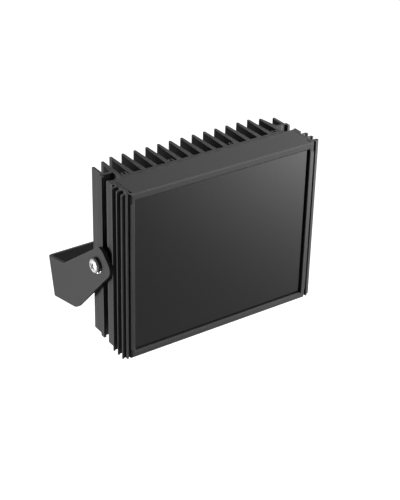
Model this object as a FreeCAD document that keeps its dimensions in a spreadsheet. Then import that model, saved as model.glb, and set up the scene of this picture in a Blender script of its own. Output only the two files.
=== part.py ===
import FreeCAD, Part
import Sketcher
import math
import os
import re

# Infrared illuminator: a finned, extruded housing that tilts and slides in a folded U-bracket.
# The housing frame has x = 0 in the middle, y = 0 on the front face and z = 0 at the bottom.
# The bracket frame has its origin in the middle of the wall face, y pointing to the wall.
# The part's own frame is the bracket's origin, turned so that the housing stands upright.

SIZES = {
    # Housing, outside
    "height": (150.0, "height over both end caps"),
    "pivot_y": (34.0, "front face to the middle of the side slots"),
    "base_rear": (32.5, "front face to the roots of the fins"),
    "rest_tilt": (12.0, "angle between housing and bracket as stored"),
    # Chamber and window seat
    "chamber_half": (83.0, "half width of the chamber"),
    "chamber_rear": (24.0, "front face to the chamber's rear wall"),
    "bar_depth": (2.4, "depth of the front bars"),
    "bar_inner": (84.8, "inner edge of a front bar"),
    "bar_outer": (88.9, "outer edge of a front bar"),
    "bar_bevel": (1.1, "bevel towards the window"),
    "window_reach": (2.1, "how far the window goes in behind a bar"),
    "window_thick": (4.0, "thickness of the window"),
    "window_seal_thick": (1.0, "thickness of the window seal"),
    "window_seal_wide": (4.0, "width of the window seal"),
    # Front corner of the side wall
    "joint_groove": (2.6, "depth of the groove beside a front bar"),
    "ridge_inner": (90.6, "inner edge of the small ridge"),
    "ridge_outer": (92.0, "outer edge of the small ridge"),
    "ridge_back": (0.6, "how far the ridge lies behind the front"),
    # Hooked ribs on the sides
    "rib_root": (89.6, "where the ribs grow out of the side wall"),
    "rib_tip": (95.2, "outer edge of the ribs"),
    "rib_first": (5.4, "rear face of the front rib"),
    "rib_pitch": (6.9, "distance between ribs"),
    "rib_thick": (1.6, "thickness of a rib"),
    "rib_hook": (2.6, "how far a rib's tip curls to the front"),
    # Side slots for the bracket's nuts
    "side_face": (92.0, "outer faces of the slot's lips"),
    "side_plate": (8.1, "width of the flat face in front of the slot"),
    "slot_width": (7.4, "opening of the slot"),
    "slot_lip": (2.2, "thickness of the slot's lips"),
    "slot_under_front": (1.0, "undercut in front"),
    "slot_under_rear": (2.6, "undercut behind"),
    "slot_floor": (80.2, "floor of the slot"),
    "slot_back": (2.6, "wall behind the slot"),
    # Fins
    "fin_count": (13.0, "straight fins"),
    "fin_pitch": (11.3, "distance between straight fins"),
    "fin_tip": (65.2, "front face to the tips of the straight fins"),
    "fin_tip_thick": (2.4, "fin thickness at the tip"),
    "fin_root_thick": (4.0, "fin thickness at the root"),
    "edge_fin_outer": (90.0, "outer face of the outermost fin"),
    "edge_fin_thick": (2.6, "thickness of the outermost fin"),
    "edge_fin_tip": (57.0, "front face to the tip of the outermost fin"),
    "splay_tip_x": (77.5, "tip of the leaning fin"),
    "splay_tip_y": (61.4, "front face to the tip of the leaning fin"),
    "splay_foot": (77.0, "foot of the leaning fin"),
    "splay_root": (81.6, "root of the leaning fin behind the slot"),
    # Screw ports between the fins
    "port_inner": (29.7, "inner pair of screw ports, from the middle"),
    "port_outer": (73.4, "outer pair of screw ports, from the middle"),
    "port_back": (1.9, "port centre behind the fin roots"),
    "port_radius": (1.45, "bore of a screw port"),
    "port_wall": (1.2, "wall of a screw port"),
    "port_mouth": (1.7, "mouth of a screw port"),
    # End caps
    "cap_half": (85.4, "half width of an end cap's plate"),
    "cap_rear": (26.7, "front face to the rear edge of a cap"),
    "cap_plate": (1.0, "plate that lies on the housing's end"),
    "cap_seal_thick": (0.3, "seal between cap and housing"),
    "cap_proud": (0.3, "how far a cap stands out of its seat in the housing's end"),
    "cap_gap": (0.3, "clearance round a cap's plate in its seat"),
    "cap_lip": (6.0, "height of the lip in front of the window"),
    "cap_tab": (8.5, "height of the tabs at the front corners"),
    "cap_edge": (0.8, "bevel along the cap's front edge"),
    "spigot_deep": (6.0, "how far a cap goes into the chamber"),
    "spigot_wall": (2.4, "wall of the part that goes into the chamber"),
    "spigot_gap": (0.3, "clearance of that part in the chamber"),
    "tab_corner": (2.0, "rounding of the cap's front corners"),
    # Lamp board
    "lamp_columns": (7.0, "emitters in a row"),
    "lamp_rows": (4.0, "rows of emitters"),
    "lamp_low": (53.5, "lower edge of the lamp board above the bottom"),
    "lamp_side_gap": (5.0, "lamp board to the chamber's side walls"),
    "lamp_top_gap": (0.5, "lamp board to the upper cap"),
    "board_thick": (1.6, "thickness of the circuit boards"),
    "pad_thick": (0.5, "thickness of the heat pad"),
    "pad_margin": (2.0, "board edge to heat pad edge"),
    "emitter_side": (3.5, "side of an emitter"),
    "emitter_tall": (1.3, "height of an emitter"),
    "lens_gap": (5.2, "between the lenses of a strip, in front"),
    "lens_rim": (1.5, "lens to the strip's long edge"),
    "lens_throat": (7.0, "side of a square lens at the emitter"),
    "lens_stand": (1.5, "lens throat above the board"),
    "lens_plate": (1.5, "plate that joins the lenses of a row"),
    "lens_tall": (7.0, "height of a lens behind its plate"),
    "lens_strip_gap": (2.0, "between neighbouring strips"),
    "post_side": (4.8, "side of a strip post"),
    # Small screws
    "m3_radius": (1.5, "shank of the board screws"),
    "m3_head_radius": (2.75, "head of the board screws"),
    "m3_head": (2.0, "head height of the board screws"),
    "m3_bite": (5.0, "thread in the housing"),
    "screw_gap": (0.1, "radial clearance round small screws"),
    # Driver board
    "driver_half": (70.0, "half width of the driver board"),
    "driver_low": (12.0, "lower edge of the driver board"),
    "driver_tall": (32.0, "height of the driver board"),
    "driver_gap": (4.0, "standoff height"),
    "driver_notch_half": (10.0, "half width of the notch at the cable entry"),
    "driver_notch_deep": (10.0, "depth of that notch"),
    "standoff_flats": (5.5, "across the flats of a standoff"),
    "driver_hole_side": (6.0, "screw to the end of the driver board"),
    "driver_hole_edge": (5.0, "screw to the long edge of the driver board"),
    "choke_radius": (7.0, "radius of the coil"),
    "choke_tall": (7.0, "height of the coil"),
    "choke_x": (46.0, "coil beside the middle"),
    "can_radius": (4.0, "radius of a capacitor"),
    "can_tall": (7.5, "height of a capacitor"),
    "can_x": (31.0, "inner capacitor beside the middle"),
    "can_pitch": (9.0, "distance between capacitors"),
    "block_wide": (12.0, "width of the terminal block"),
    "block_deep": (7.5, "height of the terminal block"),
    "block_tall": (9.0, "length of the terminal block"),
    "block_x": (18.0, "terminal block beside the middle"),
    "chip_x": (42.0, "first chip beside the middle"),
    "chip_pitch": (12.0, "distance between chips"),
    "chip_side": (6.5, "side of a chip"),
    "chip_tall": (2.3, "height of a chip"),
    "wire_radius": (0.75, "radius of a link wire"),
    "wire_x": (14.0, "link wire beside the middle"),
    "wire_end": (2.5, "wire end to the board's edge"),
    "wire_out": (2.2, "how far a wire stands off the boards"),
    # Cable gland, at the back
    "entry_z": (44.6, "cable entry above the bottom"),
    "relief_half": (16.0, "half width of the place milled in the fins"),
    "relief_tall": (36.0, "height of the place milled in the fins"),
    "gland_radius": (8.0, "thread of the gland"),
    "gland_gap": (0.05, "radial clearance of the gland's thread"),
    "gland_flats": (20.0, "across the gland's flats"),
    "gland_hex": (5.0, "thickness of the gland's hexagon"),
    "gland_collar": (6.6, "radius of the thread that takes the nut"),
    "gland_collar_long": (8.0, "length of that thread"),
    "gland_seat": (0.8, "thickness of the gland's flat seal"),
    "gland_nut_long": (15.0, "length of the gland nut"),
    "gland_nut_gap": (0.6, "hexagon to nut"),
    "insert_radius": (5.4, "outer radius of the rubber insert"),
    "insert_long": (13.0, "length of the rubber insert"),
    "entry_radius": (3.25, "bore for the cable"),
    # Bracket
    "sheet": (3.0, "sheet thickness of the bracket"),
    "bend": (2.0, "inner bend radius"),
    "arm_gap": (3.8, "side face to bracket arm, filled by the spacer"),
    "wall_reach": (92.5, "pivot to the wall face"),
    "web_top": (15.6, "pivot down to the web's upper edge"),
    "web_tall": (36.3, "height of the web"),
    "neck_upper": (63.1, "pivot to the corner over the web"),
    "neck_lower": (49.1, "pivot to the corner under the arm"),
    "neck_round": (14.0, "rounding under the arm"),
    "tip_low_y": (21.4, "lower tip corner in front of the pivot"),
    "tip_low_z": (2.0, "lower tip corner below the pivot"),
    "tip_high_y": (7.3, "upper tip corner in front of the pivot"),
    "tip_high_z": (17.4, "upper tip corner above the pivot"),
    "tip_round": (7.5, "rounding of the arm's tip"),
    "wall_hole": (5.25, "radius of the middle wall hole"),
    "side_hole": (3.25, "radius of the outer wall holes"),
    "side_hole_x": (40.0, "outer wall holes from the middle"),
    "pivot_gap": (0.05, "running clearance on the pivot screws"),
    # Pivot hardware
    "pivot_radius": (3.0, "shank of the pivot screws"),
    "pivot_head": (6.0, "radius of the pan head"),
    "pivot_head_tall": (4.6, "height of the pan head"),
    "pivot_long": (15.5, "length of the pivot screws"),
    "recess_long": (6.6, "length of the cross recess"),
    "recess_wide": (1.3, "width of the cross recess"),
    "recess_deep": (2.4, "depth of the cross recess"),
    "tooth_thick": (1.0, "thickness of the toothed washer"),
    "tooth_radius": (6.9, "radius over the teeth"),
    "tooth_root": (5.6, "radius between the teeth"),
    "tooth_count": (14.0, "teeth of the toothed washer"),
    "spacer_radius": (8.0, "radius of the pivot spacer"),
    "nut_long": (14.0, "length of a slot nut"),
    "nut_thick": (5.0, "thickness of a slot nut"),
    "nut_gap": (0.2, "clearance of a slot nut in front"),
    "nut_wide": (9.4, "width of a slot nut"),
}

V = FreeCAD.Vector
doc = FreeCAD.newDocument("infrared_illuminator")
sheet = doc.addObject("Spreadsheet::Sheet", "Sizes")
for line, (name, (value, note)) in enumerate(SIZES.items(), 1):
    sheet.set("A%d" % line, name)
    sheet.set("B%d" % line, str(value))
    sheet.set("C%d" % line, note)
    sheet.setAlias("B%d" % line, name)
doc.recompute()

# Sizes that follow from the driving ones
DERIVED = {
    "end_low": "cap_proud",
    "profile_long": "(height - 2 * cap_proud)",
    "seat_level": "(cap_plate + cap_seal_thick)",
    "window_edge": "(bar_inner + window_reach - spigot_gap)",
    "window_back": "(bar_depth + window_thick)",
    "shoulder": "(bar_depth + window_thick + window_seal_thick)",
    "window_low": "(cap_plate + spigot_gap + 1)",
    "slot_front": "(pivot_y - slot_width / 2)",
    "slot_rear": "(pivot_y + slot_width / 2)",
    "slot_inner": "(side_face - slot_lip)",
    "wall_back": "(pivot_y + slot_width / 2 + slot_under_rear + slot_back)",
    "board_front": "(chamber_rear - pad_thick - board_thick)",
    "lens_back": "(chamber_rear - pad_thick - board_thick - lens_stand)",
    "lamp_board_half": "(chamber_half - lamp_side_gap)",
    "lamp_board_tall": "(height - cap_plate - spigot_deep - lamp_top_gap - lamp_low)",
    "lamp_pitch": "(2 * lamp_board_half / lamp_columns)",
    "lamp_row_pitch": "(lamp_board_tall / lamp_rows)",
    "lens_strip_tall": "(lamp_row_pitch - lens_strip_gap)",
    "driver_back": "(chamber_rear - driver_gap)",
    "driver_front": "(chamber_rear - driver_gap - board_thick)",
    "arm_inner": "(side_face + arm_gap)",
    "arm_outer": "(side_face + arm_gap + sheet)",
    "head_seat": "(side_face + arm_gap + sheet + tooth_thick)",
}


def bound(text):
    """The expression text with every size replaced by its cell in the sheet."""
    while any(re.search(r"\b%s\b" % name, text) for name in DERIVED):
        for name, value in DERIVED.items():
            text = re.sub(r"\b%s\b" % name, value, text)
    return re.sub(r"\b[a-z][a-z0-9_]*\b", lambda m: "Sizes." + m.group() if m.group() in SIZES else m.group(), text)


def value(text):
    """The number that an expression in sizes gives now."""
    return float(sheet.evalExpression(bound(str(text))))


# Features

NORMAL = {"XY_Plane": 1, "XZ_Plane": -1, "YZ_Plane": 1}


def new_body(label):
    """An empty body that stands in the housing frame."""
    body = doc.addObject("PartDesign::Body", label)
    body.Label = label
    place_in_housing(body)
    doc.recompute()
    return body


def place_in_housing(thing):
    """Puts a piece built in the housing frame into the part's own frame."""
    reach = "(wall_reach * cos(rest_tilt * 1deg) - (web_top + web_tall / 2) * sin(rest_tilt * 1deg))"
    drop = "(wall_reach * sin(rest_tilt * 1deg) + (web_top + web_tall / 2) * cos(rest_tilt * 1deg))"
    thing.setExpression("Placement.Base.y", bound("-%s - pivot_y" % reach))
    thing.setExpression("Placement.Base.z", bound("%s - height / 2" % drop))


def plane(body, role):
    return [feature for feature in body.Origin.OriginFeatures if feature.Role == role][0]


def new_sketch(body, name, role, level):
    """A sketch on one of the body's own planes, at a level along X, Y or Z."""
    sketch = body.newObject("Sketcher::SketchObject", name)
    sketch.AttachmentSupport = [(plane(body, role), "")]
    sketch.MapMode = "FlatFace"
    sign = "" if NORMAL[role] > 0 else "-"
    sketch.setExpression("AttachmentOffset.Base.z", bound("%s(%s)" % (sign, level)))
    return sketch


def fix_point(sketch, geometry, point, across, up):
    """Ties one point of a sketch to two sizes measured from the origin."""
    for kind, text in (("DistanceX", across), ("DistanceY", up)):
        index = sketch.addConstraint(Sketcher.Constraint(kind, -1, 1, geometry, point, value(text)))
        sketch.setExpression("Constraints[%d]" % index, bound(str(text)))


def add_outline(sketch, corners):
    """A closed outline. A corner is (across, up) or (across, up, rounding), each an expression."""
    spots = [V(value(corner[0]), value(corner[1]), 0) for corner in corners]
    count = len(corners)
    ends = []
    for i, corner in enumerate(corners):
        if len(corner) == 2:
            ends.append((spots[i], spots[i], None, 0))
            continue
        radius = value(corner[2])
        arriving = (spots[i] - spots[i - 1]).normalize()
        leaving = (spots[(i + 1) % count] - spots[i]).normalize()
        turn = math.atan2(arriving.x * leaving.y - arriving.y * leaving.x, arriving.dot(leaving))
        back = radius * math.tan(abs(turn) / 2)
        first = spots[i] - arriving * back
        last = spots[i] + leaving * back
        side = 1 if turn > 0 else -1
        centre = first + V(-arriving.y, arriving.x, 0) * radius * side
        ends.append((first, last, centre, side))
    lines = [sketch.addGeometry(Part.LineSegment(ends[i][1], ends[(i + 1) % count][0])) for i in range(count)]
    for i, corner in enumerate(corners):
        before = lines[i - 1]
        after = lines[i]
        first, last, centre, side = ends[i]
        if centre is None:
            sketch.addConstraint(Sketcher.Constraint("Coincident", before, 2, after, 1))
            fix_point(sketch, after, 1, corner[0], corner[1])
            continue
        start, stop = (first, last) if side > 0 else (last, first)
        circle = Part.Circle(centre, V(0, 0, 1), value(corner[2]))
        arc = sketch.addGeometry(Part.ArcOfCircle(circle, circle.parameter(start), circle.parameter(stop)))
        meet_before, meet_after = (1, 2) if side > 0 else (2, 1)
        spot = sketch.addGeometry(Part.Point(spots[i]), True)
        fix_point(sketch, spot, 1, corner[0], corner[1])
        sketch.addConstraint([
            Sketcher.Constraint("Tangent", before, 2, arc, meet_before),
            Sketcher.Constraint("Tangent", after, 1, arc, meet_after),
            Sketcher.Constraint("PointOnObject", spot, 1, before),
            Sketcher.Constraint("PointOnObject", spot, 1, after),
        ])
        index = sketch.addConstraint(Sketcher.Constraint("Radius", arc, value(corner[2])))
        sketch.setExpression("Constraints[%d]" % index, bound(str(corner[2])))


def add_circle(sketch, across, up, radius):
    """A circle with its centre and radius tied to sizes."""
    circle = sketch.addGeometry(Part.Circle(V(value(across), value(up), 0), V(0, 0, 1), value(radius)))
    fix_point(sketch, circle, 3, across, up)
    index = sketch.addConstraint(Sketcher.Constraint("Radius", circle, value(radius)))
    sketch.setExpression("Constraints[%d]" % index, bound(str(radius)))


def box_corners(left, right, low, high):
    return [(left, low), (right, low), (right, high), (left, high)]


def square(across, up, side):
    """Corners of a square round a middle point."""
    return box_corners("%s - (%s) / 2" % (across, side), "%s + (%s) / 2" % (across, side),
                       "%s - (%s) / 2" % (up, side), "%s + (%s) / 2" % (up, side))


def feature(body, kind, sketch, length, towards, role):
    """A pad or pocket of a sketch, towards +1 or -1 along the plane's axis."""
    made = body.newObject("PartDesign::" + kind, sketch.Name + "_" + kind.lower())
    made.Profile = sketch
    made.setExpression("Length", bound(str(length)))
    along = NORMAL[role] * towards
    made.Reversed = along < 0 if kind == "Pad" else along > 0
    before = body.Shape.Volume if kind == "Pocket" else 0.0
    doc.recompute()
    if kind == "Pocket" and body.Shape.Volume > before - 1e-6:
        raise RuntimeError("%s in %s cuts nothing" % (made.Name, body.Label))
    return made


def pad(body, name, role, level, length, corners, towards=1):
    sketch = new_sketch(body, name, role, level)
    add_outline(sketch, corners)
    return feature(body, "Pad", sketch, length, towards, role)


def pocket(body, name, role, level, length, corners, towards=1):
    sketch = new_sketch(body, name, role, level)
    add_outline(sketch, corners)
    return feature(body, "Pocket", sketch, length, towards, role)


def round_pad(body, name, role, level, length, circles, towards=1):
    """A pad of circles. Two with the same centre make a ring."""
    sketch = new_sketch(body, name, role, level)
    for across, up, radius in circles:
        add_circle(sketch, across, up, radius)
    return feature(body, "Pad", sketch, length, towards, role)


def round_pocket(body, name, role, level, length, circles, towards=1):
    sketch = new_sketch(body, name, role, level)
    for across, up, radius in circles:
        add_circle(sketch, across, up, radius)
    return feature(body, "Pocket", sketch, length, towards, role)


def finish_edges(body, kind, name, base, size, wanted):
    """A fillet or chamfer on the circular edges of the base feature that the test wants."""
    box = base.Shape.BoundBox
    names = ["Edge%d" % (index + 1) for index, edge in enumerate(base.Shape.Edges)
             if edge.Curve.TypeId == "Part::GeomCircle" and wanted(edge, box)]
    made = body.newObject("PartDesign::" + kind, name)
    made.Base = (base, names)
    made.setExpression("Radius" if kind == "Fillet" else "Size", bound(size))
    doc.recompute()
    return made


def mirrored(body, name, features):
    """The features once more on the other side of the middle plane."""
    mirror = body.newObject("PartDesign::Mirrored", name)
    mirror.Originals = features
    mirror.MirrorPlane = (plane(body, "YZ_Plane"), [""])
    body.Tip = mirror
    doc.recompute()
    return mirror


def in_a_row(body, name, features, axis, step, count):
    """The features repeated along one of the body's axes."""
    row = body.newObject("PartDesign::LinearPattern", name)
    row.Originals = features
    row.Direction = (plane(body, axis), [""])
    row.setExpression("Occurrences", bound(count))
    row.setExpression("Length", bound("(%s) * (%s - 1)" % (step, count)))
    body.Tip = row
    doc.recompute()
    return row


# Housing profile

def rib(number):
    """Corners of one hooked side rib, from its front root to its rear root."""
    back = "(rib_first + %d * rib_pitch)" % number
    end = "0.4 * (rib_hook - rib_thick)"
    corners = [
        ("rib_root", back + " - rib_thick"),
        ("rib_tip - rib_thick", back + " - rib_thick"),
        ("rib_tip - rib_thick", back + " - rib_hook"),
        ("rib_tip", back + " - rib_hook", end),
        ("rib_tip", back, "0.8 * rib_hook"),
        ("rib_root", back),
    ]
    return corners[1:] if number == 0 else corners


def half_section():
    """Half of the profile's section: chamber wall, front corner, ribs, slot and edge fins."""
    corners = [
        ("0", "chamber_rear"),
        ("chamber_half", "chamber_rear", "1.5"),
        ("chamber_half", "shoulder"),
        ("bar_inner + window_reach", "shoulder"),
        ("bar_inner + window_reach", "bar_depth"),
        ("bar_inner", "bar_depth"),
        ("bar_inner", "0", "0.5 * bar_bevel"),
        ("bar_outer", "0", "0.4 * bar_bevel"),
        ("bar_outer", "joint_groove"),
        ("ridge_inner", "joint_groove"),
        ("ridge_inner", "ridge_back", "0.3"),
        ("ridge_outer", "ridge_back", "0.3"),
        ("ridge_outer", "rib_first - rib_thick"),
    ]
    for number in range(3):
        corners += rib(number)
    corners += [
        ("rib_root", "slot_front - side_plate"),
        ("side_face", "slot_front - side_plate", "0.5"),
        ("side_face", "slot_front"),
        ("slot_inner", "slot_front"),
        ("slot_inner", "slot_front - slot_under_front"),
        ("slot_floor", "slot_front - slot_under_front"),
        ("slot_floor", "slot_rear + slot_under_rear"),
        ("slot_inner", "slot_rear + slot_under_rear"),
        ("slot_inner", "slot_rear"),
        ("side_face", "slot_rear"),
        ("side_face", "wall_back", "1.0"),
        ("edge_fin_outer", "wall_back"),
        ("edge_fin_outer", "edge_fin_tip", "0.45 * edge_fin_thick"),
        ("edge_fin_outer - edge_fin_thick", "edge_fin_tip", "0.45 * edge_fin_thick"),
        ("edge_fin_outer - edge_fin_thick", "wall_back"),
        ("splay_root", "wall_back"),
        ("splay_tip_x + fin_tip_thick / 2", "splay_tip_y", "0.42 * fin_tip_thick"),
        ("splay_tip_x - fin_tip_thick / 2", "splay_tip_y", "0.42 * fin_tip_thick"),
        ("splay_foot", "base_rear"),
        ("0", "base_rear"),
    ]
    return corners


def make_housing_profile():
    body = new_body("housing_profile")
    half = pad(body, "section", "XY_Plane", "end_low", "profile_long", half_section())
    mirrored(body, "other_half", [half])

    first_fin = "-(fin_count - 1) / 2 * fin_pitch"
    fin = pad(body, "fin", "XY_Plane", "end_low", "profile_long", [
        (first_fin + " - fin_root_thick / 2", "base_rear - 0.5"),
        (first_fin + " + fin_root_thick / 2", "base_rear - 0.5"),
        (first_fin + " + fin_tip_thick / 2", "fin_tip", "0.45 * fin_tip_thick"),
        (first_fin + " - fin_tip_thick / 2", "fin_tip", "0.45 * fin_tip_thick"),
    ])
    in_a_row(body, "fins", [fin], "X_Axis", "fin_pitch", "fin_count")

    ports = ["-port_outer", "-port_inner", "port_inner", "port_outer"]
    middle = "(base_rear + port_back)"
    round_pad(body, "port_rings", "XY_Plane", "end_low", "profile_long",
              [(across, middle, "port_radius + port_wall") for across in ports])
    round_pocket(body, "port_bores", "XY_Plane", "end_low - 1", "profile_long + 2",
                 [(across, middle, "port_radius") for across in ports])
    mouths = new_sketch(body, "port_mouths", "XY_Plane", "end_low - 1")
    for across in ports:
        add_outline(mouths, box_corners(across + " - port_mouth / 2", across + " + port_mouth / 2",
                                        middle, middle + " + 2 * port_radius + port_wall"))
    feature(body, "Pocket", mouths, "profile_long + 2", 1, "XY_Plane")

    seats = new_sketch(body, "tab_seats", "XZ_Plane", "-1")
    for low, high in (("0", "cap_tab"), ("height - cap_tab", "height")):
        add_outline(seats, box_corners("-bar_outer - 0.6", "-bar_inner + 1", low, high))
        add_outline(seats, box_corners("bar_inner - 1", "bar_outer + 0.6", low, high))
    feature(body, "Pocket", seats, "bar_depth + 1", 1, "XZ_Plane")

    cap_seat = [
        ("-cap_half - cap_gap", "-1"),
        ("cap_half + cap_gap", "-1"),
        ("cap_half + cap_gap", "cap_rear + cap_gap", "1.0 + cap_gap"),
        ("-cap_half - cap_gap", "cap_rear + cap_gap", "1.0 + cap_gap"),
    ]
    pocket(body, "lower_cap_seat", "XY_Plane", "end_low - 1", "seat_level - end_low + 1", cap_seat)
    pocket(body, "upper_cap_seat", "XY_Plane", "height - seat_level", "seat_level + 1", cap_seat)
    pocket(body, "fin_relief", "XZ_Plane", "base_rear", "fin_tip - base_rear + 1",
           box_corners("-relief_half", "relief_half", "entry_z - relief_tall / 2", "entry_z + relief_tall / 2"))
    round_pocket(body, "entry_hole", "XZ_Plane", "chamber_rear - 1", "base_rear - chamber_rear + 2",
                 [("0", "entry_z", "gland_radius + gland_gap")])
    threads = [(across, up, "m3_radius") for across, up in lamp_screw_places() + driver_screw_places()]
    round_pocket(body, "screw_threads", "XZ_Plane", "chamber_rear", "m3_bite + 1", threads)
    return body


# End caps and their seals

def make_end_cap(label, on_top):
    """One moulding, used at both ends: plate, front lip, corner tabs and the part in the chamber."""
    body = new_body(label)
    if on_top:
        turn_over(body)
    pad(body, "plate", "XY_Plane", "0", "cap_plate", [
        ("-cap_half", "bar_depth"),
        ("-cap_half", "cap_rear", "1.0"),
        ("cap_half", "cap_rear", "1.0"),
        ("cap_half", "bar_depth"),
        ("bar_outer", "bar_depth"),
        ("bar_outer", "0", "tab_corner"),
        ("-bar_outer", "0", "tab_corner"),
        ("-bar_outer", "bar_depth"),
    ])
    pad(body, "lip", "XZ_Plane", "0", "bar_depth", [
        ("-bar_outer", "0"),
        ("bar_outer", "0"),
        ("bar_outer", "cap_tab", "0.8"),
        ("bar_inner", "cap_tab", "0.8"),
        ("bar_inner", "cap_lip"),
        ("-bar_inner", "cap_lip"),
        ("-bar_inner", "cap_tab", "0.8"),
        ("-bar_outer", "cap_tab", "0.8"),
    ])
    corner_cut = pocket(body, "corner_round", "XY_Plane", "-1", "cap_tab + 2", [
        ("bar_outer + 1", "-1"),
        ("bar_outer + 1", "tab_corner"),
        ("bar_outer", "tab_corner"),
        ("bar_outer - 0.293 * tab_corner", "0.293 * tab_corner"),
        ("bar_outer - tab_corner", "0"),
        ("bar_outer - tab_corner", "-1"),
    ])
    mirrored(body, "corner_rounds", [corner_cut])
    pocket(body, "lip_bevel", "YZ_Plane", "-bar_inner", "2 * bar_inner", [
        ("-1", "cap_lip - bar_bevel - 1"),
        ("bar_bevel", "cap_lip"),
        ("bar_bevel", "cap_lip + 1"),
        ("-1", "cap_lip + 1"),
    ])
    pocket(body, "front_edge", "YZ_Plane", "-bar_outer - 1", "2 * bar_outer + 2", [
        ("-1", "-1"),
        ("cap_edge + 1", "-1"),
        ("-1", "cap_edge + 1"),
    ])
    inner = "(chamber_half - spigot_gap)"
    pad(body, "spigot", "XY_Plane", "cap_plate", "spigot_deep", [
        ("-" + inner, "shoulder"),
        (inner, "shoulder"),
        (inner, "chamber_rear - spigot_gap", "1.5"),
        ("-" + inner, "chamber_rear - spigot_gap", "1.5"),
    ])
    pocket(body, "spigot_hollow", "XY_Plane", "cap_plate", "spigot_deep + 1",
           box_corners("-%s + spigot_wall" % inner, inner + " - spigot_wall",
                       "shoulder + spigot_wall", "chamber_rear - spigot_gap - spigot_wall"))
    return body


def turn_over(body):
    """Turns a body that was built for the bottom over, on to the top."""
    body.Placement = FreeCAD.Placement(body.Placement.Base, FreeCAD.Rotation(V(0, 1, 0), 180))
    drop = "(wall_reach * sin(rest_tilt * 1deg) + (web_top + web_tall / 2) * cos(rest_tilt * 1deg))"
    body.setExpression("Placement.Base.z", bound("%s + height / 2" % drop))
    doc.recompute()


def make_cap_seal(label, on_top):
    body = new_body(label)
    if on_top:
        turn_over(body)
    outer = "(cap_half - 0.3)"
    pad(body, "strip", "XY_Plane", "cap_plate", "cap_seal_thick", [
        ("-" + outer, "shoulder"),
        ("-chamber_half", "shoulder"),
        ("-chamber_half", "chamber_rear"),
        ("chamber_half", "chamber_rear"),
        ("chamber_half", "shoulder"),
        (outer, "shoulder"),
        (outer, "cap_rear - 0.3", "1.0"),
        ("-" + outer, "cap_rear - 0.3", "1.0"),
    ])
    return body


# Window

def make_front_window():
    body = new_body("front_window")
    pad(body, "pane", "XZ_Plane", "bar_depth", "window_thick",
        box_corners("-window_edge", "window_edge", "window_low", "height - window_low"))
    return body


def make_window_seal():
    body = new_body("window_seal")
    ring = new_sketch(body, "ring", "XZ_Plane", "window_back")
    add_outline(ring, box_corners("-window_edge", "window_edge", "window_low", "height - window_low"))
    add_outline(ring, box_corners("-window_edge + window_seal_wide", "window_edge - window_seal_wide",
                                  "window_low + window_seal_wide", "height - window_low - window_seal_wide"))
    feature(body, "Pad", ring, "window_seal_thick", 1, "XZ_Plane")
    return body


# Lamp board with emitters and lenses

def lamp_row_z(row):
    return "(lamp_low + (%d + 1 / 2) * lamp_row_pitch)" % row


def lamp_screw_places():
    """Two screws to a lens strip, one between each outer pair of lenses."""
    across = "((lamp_columns - 2) / 2 * lamp_pitch)"
    places = []
    for row in range(int(value("lamp_rows"))):
        places.append(("-" + across, lamp_row_z(row)))
        places.append((across, lamp_row_z(row)))
    return places


def make_heat_pad():
    body = new_body("heat_pad")
    half = "(lamp_board_half - pad_margin)"
    sheet_pad = new_sketch(body, "sheet_pad", "XZ_Plane", "chamber_rear - pad_thick")
    add_outline(sheet_pad, box_corners("-" + half, half, "lamp_low + pad_margin",
                                       "lamp_low + lamp_board_tall - pad_margin"))
    for across, up in lamp_screw_places():
        add_outline(sheet_pad, square(across, up, "2 * m3_radius + 2 * screw_gap"))
    feature(body, "Pad", sheet_pad, "pad_thick", 1, "XZ_Plane")
    return body


def make_lamp_board():
    body = new_body("lamp_board")
    pad(body, "board", "XZ_Plane", "board_front", "board_thick",
        box_corners("-lamp_board_half", "lamp_board_half", "lamp_low", "lamp_low + lamp_board_tall"))
    round_pocket(body, "holes", "XZ_Plane", "board_front", "board_thick + 1",
                 [(across, up, "m3_radius + screw_gap") for across, up in lamp_screw_places()])
    return body


def make_emitters():
    """All emitters, one small package at each crossing of the lamp field."""
    body = new_body("emitters")
    across = "-(lamp_columns - 1) / 2 * lamp_pitch"
    rows = []
    for row in range(int(value("lamp_rows"))):
        up = lamp_row_z(row)
        rows.append(pad(body, "package_%d" % row, "XZ_Plane", "board_front", "emitter_tall",
                        square(across, up, "emitter_side"), -1))
    in_a_row(body, "columns", rows, "X_Axis", "lamp_pitch", "lamp_columns")
    return body


def make_lens_strip(row):
    """The lenses of one row with the plate that joins them and two posts on the board."""
    body = new_body("lens_strip_%d" % (row + 1))
    up = lamp_row_z(row)
    half = "(lamp_board_half - lens_strip_gap / 2)"
    front = "(lens_back - lens_tall - lens_plate)"
    pad(body, "plate", "XZ_Plane", front, "lens_plate",
        box_corners("-" + half, half, up + " - lens_strip_tall / 2", up + " + lens_strip_tall / 2"))
    places = lamp_screw_places()[2 * row:2 * row + 2]
    posts = new_sketch(body, "posts", "XZ_Plane", front + " + lens_plate")
    for across, level in places:
        add_outline(posts, square(across, level, "post_side"))
    feature(body, "Pad", posts, "lens_tall + lens_stand", 1, "XZ_Plane")
    first = "(-(lamp_columns - 1) / 2 * lamp_pitch)"
    wide = "(lamp_pitch - lens_gap)"
    tall = "(lens_strip_tall - 2 * lens_rim)"
    mouth = new_sketch(body, "mouth", "XZ_Plane", front + " + lens_plate")
    add_outline(mouth, box_corners(first + " - %s / 2" % wide, first + " + %s / 2" % wide,
                                   up + " - %s / 2" % tall, up + " + %s / 2" % tall))
    throat = new_sketch(body, "throat", "XZ_Plane", "lens_back")
    add_outline(throat, square(first, up, "lens_throat"))
    lens = body.newObject("PartDesign::AdditiveLoft", "lens")
    lens.Profile = mouth
    lens.Sections = [throat]
    lens.Ruled = True
    doc.recompute()
    in_a_row(body, "lenses", [lens], "X_Axis", "lamp_pitch", "lamp_columns")
    round_pocket(body, "holes", "XZ_Plane", front + " - 1", "lens_plate + lens_tall + lens_stand + 2",
                 [(across, level, "m3_radius + screw_gap") for across, level in places])
    return body


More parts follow.
